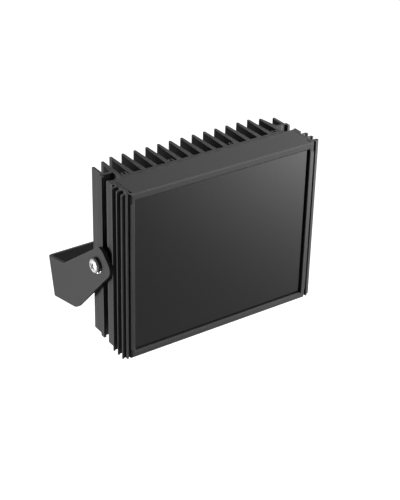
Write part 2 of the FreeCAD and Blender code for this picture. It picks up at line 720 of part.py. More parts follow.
def make_screws(label, head_front, places):
    """Small pan-head screws in the housing's rear wall."""
    body = new_body(label)
    round_pad(body, "heads", "XZ_Plane", head_front, "m3_head",
              [(x, z, "m3_head_radius") for x, z in places])
    round_pad(body, "shanks", "XZ_Plane", head_front + " + m3_head", "chamber_rear + m3_bite - %s - m3_head" % head_front,
              [(x, z, "m3_radius - 0.02") for x, z in places])
    return body


# Driver board and what it carries

def driver_screw_places():
    across = "(driver_half - driver_hole_side)"
    return [(sign + across, up) for sign in ("-", "")
            for up in ("driver_low + driver_hole_edge", "driver_low + driver_tall - driver_hole_edge")]


def make_driver_board():
    body = new_body("driver_board")
    top = "(driver_low + driver_tall)"
    pad(body, "board", "XZ_Plane", "driver_front", "board_thick", [
        ("-driver_half", "driver_low", "1.0"),
        ("driver_half", "driver_low", "1.0"),
        ("driver_half", top, "1.0"),
        ("driver_notch_half", top),
        ("driver_notch_half", top + " - driver_notch_deep", "2.0"),
        ("-driver_notch_half", top + " - driver_notch_deep", "2.0"),
        ("-driver_notch_half", top),
        ("-driver_half", top, "1.0"),
    ])
    round_pocket(body, "holes", "XZ_Plane", "driver_front", "board_thick + 1",
                 [(x, z, "m3_radius + screw_gap") for x, z in driver_screw_places()])
    return body


def make_standoffs():
    body = new_body("driver_standoffs")
    sleeves = new_sketch(body, "sleeves", "XZ_Plane", "driver_back")
    for x, z in driver_screw_places():
        add_outline(sleeves, hexagon(x, z, "standoff_flats"))
        add_circle(sleeves, x, z, "m3_radius + screw_gap")
    feature(body, "Pad", sleeves, "driver_gap", 1, "XZ_Plane")
    return body


def make_choke():
    body = new_body("driver_choke")
    up = "(driver_low + driver_tall / 2)"
    round_pad(body, "lower_flange", "XZ_Plane", "driver_front", "0.15 * choke_tall",
              [("-choke_x", up, "choke_radius")], -1)
    round_pad(body, "winding", "XZ_Plane", "driver_front - 0.15 * choke_tall", "0.7 * choke_tall",
              [("-choke_x", up, "0.85 * choke_radius")], -1)
    round_pad(body, "upper_flange", "XZ_Plane", "driver_front - 0.85 * choke_tall", "0.15 * choke_tall",
              [("-choke_x", up, "choke_radius")], -1)
    return body


def make_capacitors():
    body = new_body("driver_capacitors")
    low = "driver_low + driver_hole_edge + 3"
    round_pad(body, "cans", "XZ_Plane", "driver_front", "can_tall",
              [("-can_x", low, "can_radius"), ("-can_x + can_pitch", low, "can_radius"),
               ("-can_x", low + " + can_pitch", "can_radius")], -1)
    return body


def make_terminal_block():
    body = new_body("terminal_block")
    low = "(driver_low + 2)"
    pad(body, "block", "XZ_Plane", "driver_front", "block_deep",
        box_corners("block_x - block_wide / 2", "block_x + block_wide / 2", low, low + " + block_tall"), -1)
    third = "block_wide / 4"
    round_pocket(body, "screw_wells", "XZ_Plane", "driver_front - block_deep", "0.4 * block_deep",
                 [("block_x - " + third, low + " + 0.6 * block_tall", "0.18 * block_wide"),
                  ("block_x + " + third, low + " + 0.6 * block_tall", "0.18 * block_wide")])
    return body


def make_chips():
    body = new_body("driver_chips")
    middle = "(driver_low + driver_tall / 2)"
    chip = pad(body, "chip", "XZ_Plane", "driver_front", "chip_tall",
               box_corners("chip_x - chip_side / 2", "chip_x + chip_side / 2",
                           middle + " - chip_side / 2", middle + " + chip_side / 2"), -1)
    in_a_row(body, "chips", [chip], "X_Axis", "chip_pitch", "2")
    return body


def make_link_wires():
    """Two short bridges of wire from the driver board up to the lamp board."""
    body = new_body("link_wires")
    low = "(driver_low + driver_tall - wire_end)"
    high = "(lamp_low + wire_end)"
    out = "(driver_front - wire_out)"
    wires = []
    for name, across in (("left", "-wire_x"), ("right", "wire_x")):
        wires.append(pad(body, "run_" + name, "YZ_Plane", across + " - wire_radius", "2 * wire_radius", [
            ("driver_front", low + " - wire_radius"),
            ("driver_front", low + " + wire_radius"),
            (out + " + wire_radius", low + " + wire_radius", "wire_radius"),
            (out + " + wire_radius", high + " - wire_radius", "wire_radius"),
            ("board_front", high + " - wire_radius"),
            ("board_front", high + " + wire_radius"),
            (out + " - wire_radius", high + " + wire_radius", "2 * wire_radius"),
            (out + " - wire_radius", low + " - wire_radius", "2 * wire_radius"),
        ]))
    return body


# Cable gland

def hexagon(middle_x, middle_z, flats):
    """Corners of a hexagon with a flat side up."""
    half = "(%s) / 2" % flats
    side = "(%s) / 2 / cos(30deg)" % flats
    spots = []
    for number in range(6):
        angle = "(%ddeg)" % (60 * number)
        spots.append(("%s + %s * cos%s" % (middle_x, side, angle), "%s + %s * sin%s" % (middle_z, side, angle)))
    return spots


def make_gland_washer():
    body = new_body("gland_washer")
    round_pad(body, "ring", "XZ_Plane", "base_rear", "gland_seat",
              [("0", "entry_z", "gland_flats / 2"), ("0", "entry_z", "gland_radius + gland_gap")])
    return body


def make_gland_body():
    body = new_body("gland_body")
    round_pad(body, "thread", "XZ_Plane", "chamber_rear", "base_rear - chamber_rear + gland_seat",
              [("0", "entry_z", "gland_radius")])
    pad(body, "hexagon", "XZ_Plane", "base_rear + gland_seat", "gland_hex", hexagon("0", "entry_z", "gland_flats"))
    round_pad(body, "collar", "XZ_Plane", "base_rear + gland_seat + gland_hex", "gland_collar_long",
              [("0", "entry_z", "gland_collar")])
    round_pocket(body, "bore", "XZ_Plane", "chamber_rear - 1", "40", [("0", "entry_z", "entry_radius + 0.6")])
    round_pocket(body, "insert_seat", "XZ_Plane", "insert_front", "40",
                 [("0", "entry_z", "insert_radius + 0.05")])
    return body


DERIVED["insert_front"] = "(base_rear + gland_seat + gland_hex)"
DERIVED["nut_front"] = "(base_rear + gland_seat + gland_hex + gland_nut_gap)"


def make_gland_nut():
    body = new_body("gland_nut")
    pad(body, "hexagon", "XZ_Plane", "nut_front", "0.6 * gland_nut_long", hexagon("0", "entry_z", "gland_flats"))
    dome = round_pad(body, "dome", "XZ_Plane", "nut_front + 0.6 * gland_nut_long", "0.4 * gland_nut_long",
                     [("0", "entry_z", "gland_flats / 2 - 1")])
    finish_edges(body, "Chamfer", "dome_edge", dome, "0.15 * gland_nut_long",
                 lambda edge, box: abs(edge.BoundBox.YMin - box.YMax) < 0.01)
    round_pocket(body, "thread", "XZ_Plane", "nut_front - 1", "gland_collar_long + 1",
                 [("0", "entry_z", "gland_collar + gland_gap")])
    round_pocket(body, "mouth", "XZ_Plane", "nut_front", "40", [("0", "entry_z", "insert_radius + 0.05")])
    return body


def make_gland_insert():
    body = new_body("gland_insert")
    round_pad(body, "sleeve", "XZ_Plane", "insert_front", "insert_long",
              [("0", "entry_z", "insert_radius"), ("0", "entry_z", "entry_radius")])
    return body


# Bracket

def make_bracket():
    """Folded sheet: a U in plan, cut to the arm's outline seen from the side."""
    body = doc.addObject("PartDesign::Body", "mounting_bracket")
    body.Placement = FreeCAD.Placement(V(0, 0, 0), FreeCAD.Rotation(V(-1, 0, 0), value("rest_tilt")))
    body.setExpression("Placement.Rotation.Angle", bound("rest_tilt"))
    doc.recompute()
    pivot_z = "(web_top + web_tall / 2)"
    front = "(-wall_reach - tip_low_y - 5)"
    pad(body, "fold", "XY_Plane", "-web_tall / 2 - 1", "web_tall + web_top + tip_high_z + 2", [
        ("-arm_outer", front),
        ("-arm_inner", front),
        ("-arm_inner", "-sheet", "bend"),
        ("arm_inner", "-sheet", "bend"),
        ("arm_inner", front),
        ("arm_outer", front),
        ("arm_outer", "0", "bend + sheet"),
        ("-arm_outer", "0", "bend + sheet"),
    ])
    trim = new_sketch(body, "trim", "YZ_Plane", "-arm_outer - 1")
    add_outline(trim, box_corners(front + " - 5", "10", "-web_tall - 10", pivot_z + " + tip_high_z + 10"))
    add_outline(trim, [
        ("5", "-web_tall / 2"),
        ("5", "web_tall / 2"),
        ("-wall_reach + neck_upper", "web_tall / 2", "bend"),
        ("-wall_reach - tip_high_y", pivot_z + " + tip_high_z", "tip_round"),
        ("-wall_reach - tip_low_y", pivot_z + " - tip_low_z", "tip_round"),
        ("-wall_reach + neck_lower", "-web_tall / 2", "neck_round"),
    ])
    feature(body, "Pocket", trim, "2 * arm_outer + 2", 1, "YZ_Plane")
    round_pocket(body, "wall_holes", "XZ_Plane", "-sheet - 1", "sheet + 2",
                 [("0", "0", "wall_hole"), ("-side_hole_x", "0", "side_hole"), ("side_hole_x", "0", "side_hole")])
    round_pocket(body, "pivot_holes", "YZ_Plane", "-arm_outer - 1", "2 * arm_outer + 2",
                 [("-wall_reach", pivot_z, "pivot_radius + pivot_gap")])
    return body


# Pivot screws, washers and slot nuts, one set on each side

def make_pivot_screws():
    body = new_body("pivot_screws")
    middle = "height / 2"
    round_pad(body, "shank", "YZ_Plane", "head_seat - pivot_long", "pivot_long",
                      [("pivot_y", middle, "pivot_radius")])
    head = round_pad(body, "head", "YZ_Plane", "head_seat", "pivot_head_tall", [("pivot_y", middle, "pivot_head")])
    finish_edges(body, "Fillet", "crown", head, "0.55 * pivot_head_tall",
                 lambda edge, box: abs(edge.BoundBox.XMin - box.XMax) < 0.01)
    top = "head_seat + pivot_head_tall"
    for name, wide, tall in (("slot_across", "recess_long", "recess_wide"), ("slot_up", "recess_wide", "recess_long")):
        pocket(body, name, "YZ_Plane", top + " - recess_deep", "recess_deep + 1",
               box_corners("pivot_y - %s / 2" % wide, "pivot_y + %s / 2" % wide,
                           "%s - %s / 2" % (middle, tall), "%s + %s / 2" % (middle, tall)))
    mirror_whole(body)
    return body


def mirror_whole(body):
    """A second copy of the whole piece on the other side of the middle plane."""
    mirror = body.newObject("PartDesign::Mirrored", "other_side")
    mirror.TransformMode = "Whole shape"
    mirror.MirrorPlane = (plane(body, "YZ_Plane"), [""])
    body.Tip = mirror
    doc.recompute()


def make_toothed_washers():
    body = new_body("toothed_washers")
    sketch = new_sketch(body, "star", "YZ_Plane", "arm_outer")
    corners = []
    count = int(value("tooth_count"))
    for number in range(count):
        for radius, share in (("tooth_root", 0.0), ("tooth_radius", 0.3), ("tooth_radius", 0.6), ("tooth_root", 0.9)):
            angle = "(%d + %s) / tooth_count * 360deg" % (number, share)
            corners.append(("pivot_y + %s * cos(%s)" % (radius, angle), "height / 2 + %s * sin(%s)" % (radius, angle)))
    add_outline(sketch, corners)
    add_circle(sketch, "pivot_y", "height / 2", "pivot_radius + screw_gap")
    feature(body, "Pad", sketch, "tooth_thick", 1, "YZ_Plane")
    mirror_whole(body)
    return body


def make_pivot_spacers():
    body = new_body("pivot_spacers")
    round_pad(body, "ring", "YZ_Plane", "side_face", "arm_gap",
              [("pivot_y", "height / 2", "spacer_radius"), ("pivot_y", "height / 2", "pivot_radius + screw_gap")])
    mirror_whole(body)
    return body


def make_slot_nuts():
    body = new_body("slot_nuts")
    front = "(slot_front - slot_under_front + nut_gap)"
    pad(body, "block", "YZ_Plane", "slot_inner - nut_thick", "nut_thick",
        box_corners(front, front + " + nut_wide", "height / 2 - nut_long / 2", "height / 2 + nut_long / 2"))
    round_pocket(body, "thread", "YZ_Plane", "slot_inner - nut_thick - 1", "nut_thick + 2",
                 [("pivot_y", "height / 2", "pivot_radius + 0.02")])
    mirror_whole(body)
    return body


nodes = [
    make_bracket(),
    make_pivot_screws(),
    make_toothed_washers(),
    make_pivot_spacers(),
    make_slot_nuts(),
    make_housing_profile(),
    make_end_cap("top_end_cap", True),
    make_end_cap("bottom_end_cap", False),
    make_cap_seal("top_cap_seal", True),
    make_cap_seal("bottom_cap_seal", False),
    make_front_window(),
    make_window_seal(),
    make_heat_pad(),
    make_lamp_board(),
    make_emitters(),
]
nodes += [make_lens_strip(row) for row in range(int(value("lamp_rows")))]
nodes += [
    make_screws("lamp_screws", "(lens_back - lens_tall - lens_plate - m3_head)", lamp_screw_places()),
    make_driver_board(),
    make_standoffs(),
    make_screws("driver_screws", "(driver_front - m3_head)", driver_screw_places()),
    make_choke(),
    make_capacitors(),
    make_terminal_block(),
    make_chips(),
    make_link_wires(),
    make_gland_washer(),
    make_gland_body(),
    make_gland_nut(),
    make_gland_insert(),
]
doc.recompute()

for thing in doc.Objects:
    if "Invalid" in thing.State or "Error" in thing.State:
        raise RuntimeError("%s failed: %s" % (thing.Name, thing.State))
for node in nodes:
    if node.Shape.isNull() or not node.Shape.isValid():
        raise RuntimeError("%s has no valid shape" % node.Label)

os.makedirs("parts", exist_ok=True)
for node in nodes:
    node.Shape.exportStep(os.path.join("parts", node.Label + ".step"))
    box = node.Shape.BoundBox
    print("%-20s solids %2d volume %10.1f  x %7.2f %7.2f  y %7.2f %7.2f  z %7.2f %7.2f" % (
        node.Label, len(node.Shape.Solids), node.Shape.Volume,
        box.XMin, box.XMax, box.YMin, box.YMax, box.ZMin, box.ZMax))
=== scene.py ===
"""Infrared illuminator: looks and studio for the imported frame."""

import math

import bmesh
import bpy
import numpy as np
from mathutils import Matrix, Vector


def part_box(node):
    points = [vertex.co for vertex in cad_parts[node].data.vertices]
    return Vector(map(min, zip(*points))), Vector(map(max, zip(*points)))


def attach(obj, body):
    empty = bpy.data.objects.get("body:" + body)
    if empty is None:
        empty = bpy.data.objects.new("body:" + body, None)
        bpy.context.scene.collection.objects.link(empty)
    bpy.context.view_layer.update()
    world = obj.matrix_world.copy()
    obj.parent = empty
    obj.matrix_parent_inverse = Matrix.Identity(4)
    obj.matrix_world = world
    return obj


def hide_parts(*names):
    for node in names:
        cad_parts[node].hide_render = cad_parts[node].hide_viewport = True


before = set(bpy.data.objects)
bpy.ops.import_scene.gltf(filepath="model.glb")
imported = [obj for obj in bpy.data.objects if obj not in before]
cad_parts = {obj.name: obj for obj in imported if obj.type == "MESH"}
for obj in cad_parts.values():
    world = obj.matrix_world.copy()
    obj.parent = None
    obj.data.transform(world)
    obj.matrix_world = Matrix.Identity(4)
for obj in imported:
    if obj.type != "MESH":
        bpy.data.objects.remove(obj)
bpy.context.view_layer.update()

bl_info = {
    "name": "Infrared illuminator",
    "version": (1, 0, 0),
    "blender": (4, 5, 0),
    "location": "View3D > Sidebar > Illuminator",
    "description": "Finishes and studio of a finned infrared illuminator in its wall bracket",
    "category": "Object",
}

# Sizes that come from the frame, in metres
HEAD_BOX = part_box("pivot_screws")
TOOTH_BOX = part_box("toothed_washers")
NUT_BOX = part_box("gland_nut")
WINDOW_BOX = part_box("front_window")
CAD_WASHER_THICKNESS = 0.001
SHARP_ANGLE = math.radians(32.0)

# Colours that several materials share: a painted highlight for coated edges, dust, a painted highlight for
# bare metal edges, and painted shade for sunk places
COAT_EDGE_PAINTED_HIGHLIGHT = (0.22, 0.22, 0.223, 1.0)
DUST = (0.35, 0.34, 0.33, 1.0)
METAL_EDGE_PAINTED_HIGHLIGHT = (0.95, 0.95, 0.96, 1.0)
RECESS_PAINTED_SHADE = (0.03, 0.03, 0.03, 1.0)

# Lamps: name, place and side of the square, in metres, and the point they all look at
LAMPS = (
    ("side_lamp", (-1.40, 0.12, -0.02), 0.34),
    ("top_lamp", (0.60, -0.10, 0.70), 0.4),
    ("front_lamp", (0.62, -0.60, 0.02), 0.35),
)
LAMP_AIM = (0.0, -0.08, 0.05)

# Floor: half its side in metres, its two base tones, its brightness to the camera and its base
# tone in mirrors
FLOOR_HALF = 6.0
FLOOR_TONES = (0.34, 0.36)
FLOOR_SEEN = 0.96
FLOOR_MIRRORED = 0.2

# Bright pool that mirrors see on the floor: its edge in X, the edge's slant over Y, how it
# grows past the edge, where in Y it gives way to the floor behind, and how bright that is
POOL_EDGE = 0.22
POOL_SLANT = -0.15
POOL_GROWTH = 4.9
POOL_END = (-0.3, -0.1)
POOL_BEHIND = 0.1

# Brightness of the surroundings in mirrors
SKY_MIRRORED = 0.15


def middle(box, axis):
    return (box[0][axis] + box[1][axis]) / 2


PIVOT_Y = middle(HEAD_BOX, 1)
PIVOT_Z = middle(HEAD_BOX, 2)


# Settings

class PivotSettings(bpy.types.PropertyGroup):
    """Sizes of the pivot screws and the lock washers."""

    head_radius: bpy.props.FloatProperty(
        name="Head radius", description="Radius of the pan head",
        subtype="DISTANCE", unit="LENGTH", default=0.006, min=0.003, max=0.006)
    head_height: bpy.props.FloatProperty(
        name="Head height", description="Height of the pan head over the lock washer",
        subtype="DISTANCE", unit="LENGTH", default=0.0034, min=0.002, max=0.0046)
    shank_radius: bpy.props.FloatProperty(
        name="Shank radius", description="Radius of the screw's shank",
        subtype="DISTANCE", unit="LENGTH", default=0.003, min=0.001, max=0.003)
    shank_length: bpy.props.FloatProperty(
        name="Shank length", description="Length of the shank under the head",
        subtype="DISTANCE", unit="LENGTH", default=0.0167, min=0.005, max=0.0167)
    recess_turn: bpy.props.FloatProperty(
        name="Recess turn", description="How far the cross recess is turned from upright",
        subtype="ANGLE", unit="ROTATION", default=math.radians(24.0))
    teeth: bpy.props.IntProperty(
        name="Teeth", description="Teeth round the lock washer", default=14, min=6, max=24)
    washer_thickness: bpy.props.FloatProperty(
        name="Washer thickness", description="Thickness of the lock washer's sheet",
        subtype="DISTANCE", unit="LENGTH", default=0.0009, min=0.0004, max=0.0012)


class GlandSettings(bpy.types.PropertyGroup):
    """Sizes of the cable gland's clamping nut."""

    flats: bpy.props.FloatProperty(
        name="Flats", description="Width across the nut's flats",
        subtype="DISTANCE", unit="LENGTH", default=0.020, min=0.015, max=0.020)
    bore: bpy.props.FloatProperty(
        name="Bore", description="Radius of the bore that takes the gland's collar",
        subtype="DISTANCE", unit="LENGTH", default=0.00665, min=0.004, max=0.008)
    mouth: bpy.props.FloatProperty(
        name="Mouth", description="Radius of the mouth round the rubber insert",
        subtype="DISTANCE", unit="LENGTH", default=0.00545, min=0.003, max=0.006)


class CoatSettings(bpy.types.PropertyGroup):
    """Finish of the coated metal and the mouldings."""

    bracket_colour: bpy.props.FloatVectorProperty(
        name="Bracket colour", description="Powder coat of the folded bracket",
        subtype="COLOR", size=3, min=0.0, max=1.0, default=(0.046, 0.046, 0.047))
    housing_colour: bpy.props.FloatVectorProperty(
        name="Housing colour", description="Anodised colour of the extrusion",
        subtype="COLOR", size=3, min=0.0, max=1.0, default=(0.059, 0.059, 0.060))
    cap_colour: bpy.props.FloatVectorProperty(
        name="Cap colour", description="Colour of the end caps",
        subtype="COLOR", size=3, min=0.0, max=1.0, default=(0.062, 0.062, 0.063))
    grain_size: bpy.props.FloatProperty(
        name="Grain size", description="Distance between the bumps of the powder coat",
        subtype="DISTANCE", unit="LENGTH", default=0.0006, min=0.0001, max=0.003)
    # The edge line is a painted highlight: a lighter colour along outer edges
    edge_width: bpy.props.FloatProperty(
        name="Edge width", description="Width of the worn light line on outer edges",
        subtype="DISTANCE", unit="LENGTH", default=0.0005, min=0.0, max=0.002)


class WindowSettings(bpy.types.PropertyGroup):
    """Finish of the dark window."""

    tint: bpy.props.FloatVectorProperty(
        name="Tint", description="Colour of the infrared window",
        subtype="COLOR", size=3, min=0.0, max=1.0, default=(0.0056, 0.0053, 0.0053))
    polish: bpy.props.FloatProperty(
        name="Roughness", description="Roughness of the window's face",
        default=0.06, min=0.0, max=1.0)
    half_width: bpy.props.FloatProperty(
        name="Half width", description="Half width of the opening between the front bars",
        subtype="DISTANCE", unit="LENGTH", default=0.0848, min=0.01, max=0.1)
    lip: bpy.props.FloatProperty(
        name="Lip", description="Height of a cap's lip in front of the window",
        subtype="DISTANCE", unit="LENGTH", default=0.006, min=0.001, max=0.02)
    bead_wide: bpy.props.FloatProperty(
        name="Bead width", description="How far the rubber bead covers the window",
        subtype="DISTANCE", unit="LENGTH", default=0.0007, min=0.0002, max=0.002)
    bead_deep: bpy.props.FloatProperty(
        name="Bead depth", description="How far the rubber bead stands in front of the window",
        subtype="DISTANCE", unit="LENGTH", default=0.0013, min=0.0002, max=0.002)


class StudioSettings(bpy.types.PropertyGroup):
    """Camera, floor and lamps."""

    camera_place: bpy.props.FloatVectorProperty(
        name="Camera place", description="Where the camera stands",
        subtype="XYZ", unit="LENGTH", size=3, default=(-0.5677, -0.90216, 0.61184))
    camera_azimuth: bpy.props.FloatProperty(
        name="Azimuth", description="Camera's turn about Z, 0 looks along +Y",
        subtype="ANGLE", unit="ROTATION", default=math.radians(-34.745))
    camera_elevation: bpy.props.FloatProperty(
        name="Elevation", description="How far the camera looks down",
        subtype="ANGLE", unit="ROTATION", default=math.radians(30.0565))
    camera_roll: bpy.props.FloatProperty(
        name="Roll", description="Camera's turn about its own axis",
        subtype="ANGLE", unit="ROTATION", default=math.radians(1.3508))
    camera_lens: bpy.props.FloatProperty(
        name="Lens", description="Focal length on a 36 mm wide frame",
        default=123.2, min=20.0, max=300.0)
    floor_height: bpy.props.FloatProperty(
        name="Floor height", description="Height of the floor, below the wall bolt",
        subtype="DISTANCE", unit="LENGTH", default=-0.20)
    side_power: bpy.props.FloatProperty(
        name="Side lamp", description="Power of the lamp on the left",
        subtype="POWER", unit="POWER", default=20.5, min=0.0)
    top_power: bpy.props.FloatProperty(
        name="Top lamp", description="Power of the lamp above on the right",
        subtype="POWER", unit="POWER", default=9.2, min=0.0)
    front_power: bpy.props.FloatProperty(
        name="Front lamp", description="Power of the low lamp at the front right",
        subtype="POWER", unit="POWER", default=5.5, min=0.0)
    surround: bpy.props.FloatProperty(
        name="Surround", description="Strength of the even light from all sides",
        default=0.02, min=0.0, max=1.0)


# Node groups

def new_group(name, inputs, outputs):
    """An empty shader group with its sockets: (name, kind, default) each."""
    group = bpy.data.node_groups.new(name, "ShaderNodeTree")
    for direction, sockets in (("INPUT", inputs), ("OUTPUT", outputs)):
        for label, kind, value in sockets:
            socket = group.interface.new_socket(name=label, in_out=direction,
                                                socket_type="NodeSocket" + kind)
            if value is not None:
                socket.default_value = value
    return group


class Graph:
    """Short words for adding and linking nodes in a tree."""

    def __init__(self, tree):
        self.tree = tree

    def add(self, kind, **values):
        node = self.tree.nodes.new(kind if kind.startswith("NodeGroup") else "ShaderNode" + kind)
        for key, value in values.items():
            setattr(node, key, value)
        return node

    def feed(self, value, socket):
        if isinstance(value, bpy.types.NodeSocket):
            self.tree.links.new(value, socket)
        else:
            socket.default_value = value

    def maths(self, operation, first, second=0.0, third=None, clamp=False):
        node = self.add("Math", operation=operation, use_clamp=clamp)
        self.feed(first, node.inputs[0])
        self.feed(second, node.inputs[1])
        if third is not None:
            self.feed(third, node.inputs[2])
        return node.outputs[0]

    def mix_value(self, share, first, second):
        node = self.add("Mix", data_type="FLOAT")
        for value, index in ((share, 0), (first, 2), (second, 3)):
            self.feed(value, node.inputs[index])
        return node.outputs[0]

    def mix_colour(self, share, first, second):
        node = self.add("Mix", data_type="RGBA")
        for value, index in ((share, 0), (first, 6), (second, 7)):
            self.feed(value, node.inputs[index])
        return node.outputs[2]

    def noise(self, place, scale, detail=3.0, roughness=0.5):
        node = self.add("TexNoise")
        self.feed(place, node.inputs["Vector"])
        self.feed(scale, node.inputs["Scale"])
        node.inputs["Detail"].default_value = detail
        node.inputs["Roughness"].default_value = roughness
        return node.outputs[0]

    def span(self, value, low, high, out_low=0.0, out_high=1.0):
        node = self.add("MapRange")
        for item, index in ((value, 0), (low, 1), (high, 2), (out_low, 3), (out_high, 4)):
            self.feed(item, node.inputs[index])
        return node.outputs[0]

    def stretched(self, place, scale):
        node = self.add("Mapping")
        self.feed(place, node.inputs["Vector"])
        node.inputs["Scale"].default_value = scale
        return node.outputs[0]


def edge_group():
    """Mask of right-angled edges: how far a rounded normal leans from the flat one, past the
    small lean that the edge of a chamfer gives."""
    group = new_group("edge_line", [("Width", "Float", 0.0004), ("Strength", "Float", 1.0)],
                      [("Mask", "Float", None)])
    graph = Graph(group)
    entry = graph.add("NodeGroupInput")
    leave = graph.add("NodeGroupOutput")
    rounded = graph.add("Bevel", samples=8)
    graph.feed(entry.outputs["Width"], rounded.inputs["Radius"])
    flat = graph.add("NewGeometry")
    dot = graph.add("VectorMath", operation="DOT_PRODUCT")
    graph.feed(rounded.outputs[0], dot.inputs[0])
    graph.feed(flat.outputs["True Normal"], dot.inputs[1])
    lean = graph.maths("SUBTRACT", 1.0, dot.outputs["Value"])
    chamfer_lean, steepness = 0.06, 5.0
    past = graph.maths("SUBTRACT", lean, chamfer_lean)
    steep = graph.maths("MULTIPLY", entry.outputs["Strength"], steepness)
    mask = graph.maths("MULTIPLY", past, steep, clamp=True)
    graph.feed(mask, leave.inputs[0])
    return group


def grain_group():
    """Orange-peel height of a sprayed coat and its slow change of shade."""
    group = new_group("coat_grain", [("Size", "Float", 0.0006), ("Unevenness", "Float", 0.2)],
                      [("Height", "Float", None), ("Shade", "Float", None)])
    graph = Graph(group)
    entry = graph.add("NodeGroupInput")
    leave = graph.add("NodeGroupOutput")
    place = graph.add("TexCoord").outputs["Object"]
    fine = graph.maths("DIVIDE", 1.0, entry.outputs["Size"])
    height = graph.noise(place, fine, detail=2.0, roughness=0.45)
    wide = graph.noise(place, graph.maths("MULTIPLY", fine, 0.35), detail=3.0, roughness=0.7)
    from_middle = graph.maths("SUBTRACT", wide, 0.5)
    shade = graph.maths("MULTIPLY_ADD", from_middle, entry.outputs["Unevenness"], 1.0)
    graph.feed(height, leave.inputs[0])
    graph.feed(shade, leave.inputs[1])
    return group


def dust_group():
    """Thin dust on faces that look up, broken by noise."""
    group = new_group("thin_dust", [("Amount", "Float", 0.1)], [("Mask", "Float", None)])
    graph = Graph(group)
    entry = graph.add("NodeGroupInput")
    leave = graph.add("NodeGroupOutput")
    place = graph.add("TexCoord").outputs["Object"]
    up = graph.add("SeparateXYZ")
    graph.feed(graph.add("NewGeometry").outputs["Normal"], up.inputs[0])
    facing = graph.span(up.outputs["Z"], 0.3, 1.0)
    specks = graph.span(graph.noise(place, 1400.0, detail=3.0, roughness=0.7), 0.58, 0.72)
    cloud = graph.noise(place, 30.0, detail=2.0, roughness=0.5)
    mask = graph.maths("MULTIPLY", graph.maths("MULTIPLY", facing, specks), cloud)
    graph.feed(graph.maths("MULTIPLY", mask, entry.outputs["Amount"], clamp=True), leave.inputs[0])
    return group


GROUPS = {}


def use_group(graph, name, **values):
    makers = {"edge_line": edge_group, "coat_grain": grain_group, "thin_dust": dust_group}
    if name not in GROUPS:
        GROUPS[name] = makers[name]()
    node = graph.add("Group")
    node.node_tree = GROUPS[name]
    for label, value in values.items():
        graph.feed(value, node.inputs[label.capitalize()])
    return node


# Materials

def new_material(name, roughness=0.5, metallic=0.0, specular=0.5):
    """A material with its graph and its Principled shader."""
    material = bpy.data.materials.new(name)
    material.use_nodes = True
    graph = Graph(material.node_tree)
    shader = material.node_tree.nodes["Principled BSDF"]
    shader.inputs["Roughness"].default_value = roughness
    shader.inputs["Metallic"].default_value = metallic
    shader.inputs["Specular IOR Level"].default_value = specular
    return material, graph, shader


def bump(graph, shader, height, distance, strength):
    node = graph.add("Bump")
    node.inputs["Strength"].default_value = strength
    node.inputs["Distance"].default_value = distance
    graph.feed(height, node.inputs["Height"])
    graph.feed(node.outputs[0], shader.inputs["Normal"])


def shaded(graph, colour, shade):
    """The colour, lighter or darker by the shade value."""
    node = graph.add("Mix", data_type="RGBA", blend_type="MULTIPLY")
    node.inputs[0].default_value = 1.0
    graph.feed((*colour, 1.0), node.inputs[6])
    combine = graph.add("CombineColor")
    for index in range(3):
        graph.feed(shade, combine.inputs[index])
    graph.feed(combine.outputs[0], node.inputs[7])
    return node.outputs[2]


def coated_metal(name, colour, roughness, grain_size, edge_width, grain_depth, specular=0.5):
    """Powder coat or anodising: grain, slow shade changes, a painted highlight on the edges, a little dust.
    """
    material, graph, shader = new_material(name, specular=specular)
    grain = use_group(graph, "coat_grain", size=grain_size, unevenness=0.5)
    edges = use_group(graph, "edge_line", width=edge_width, strength=3.0)
    specks = use_group(graph, "thin_dust", amount=0.2)
    base = shaded(graph, colour, grain.outputs["Shade"])
    # Painted highlight: outer edges are mixed to a lighter colour in place of light caught on them
    painted = graph.mix_colour(edges.outputs["Mask"], base, COAT_EDGE_PAINTED_HIGHLIGHT)
    dusty = graph.mix_colour(specks.outputs["Mask"], painted, DUST)
    graph.feed(dusty, shader.inputs["Base Color"])
    rough = graph.span(grain.outputs["Shade"], 0.8, 1.2, roughness - 0.04, roughness + 0.05)
    dust_rough = graph.maths("MULTIPLY", specks.outputs["Mask"], 0.3)
    graph.feed(graph.maths("ADD", rough, dust_rough, clamp=True), shader.inputs["Roughness"])
    bump(graph, shader, grain.outputs["Height"], distance=grain_depth, strength=0.6)
    return material


def drawn_metal(name, colour, roughness, grain_size, edge_width):
    """Anodised extrusion: fine die lines along Z over a soft grain."""
    material, graph, shader = new_material(name)
    place = graph.add("TexCoord").outputs["Object"]
    lines = graph.noise(graph.stretched(place, (1.0, 1.0, 0.012)), 2600.0, detail=4.0, roughness=0.6)
    broad = graph.noise(graph.stretched(place, (1.0, 1.0, 0.03)), 320.0, detail=3.0, roughness=0.6)
    grain = use_group(graph, "coat_grain", size=grain_size, unevenness=0.4)
    edges = use_group(graph, "edge_line", width=edge_width, strength=3.0)
    specks = use_group(graph, "thin_dust", amount=0.2)
    streak = graph.maths("MULTIPLY", grain.outputs["Shade"], graph.span(broad, 0.38, 0.62, 0.74, 1.13))
    base = shaded(graph, colour, streak)
    # Painted highlight: outer edges are mixed to a lighter colour in place of light caught on them
    painted = graph.mix_colour(edges.outputs["Mask"], base, COAT_EDGE_PAINTED_HIGHLIGHT)
    dusty = graph.mix_colour(specks.outputs["Mask"], painted, DUST)
    graph.feed(dusty, shader.inputs["Base Color"])
    graph.feed(graph.span(lines, 0.3, 0.7, roughness - 0.06, roughness + 0.06), shader.inputs["Roughness"])
    height = graph.mix_value(0.6, grain.outputs["Height"], lines)
    bump(graph, shader, height, distance=0.00004, strength=0.5)
    return material


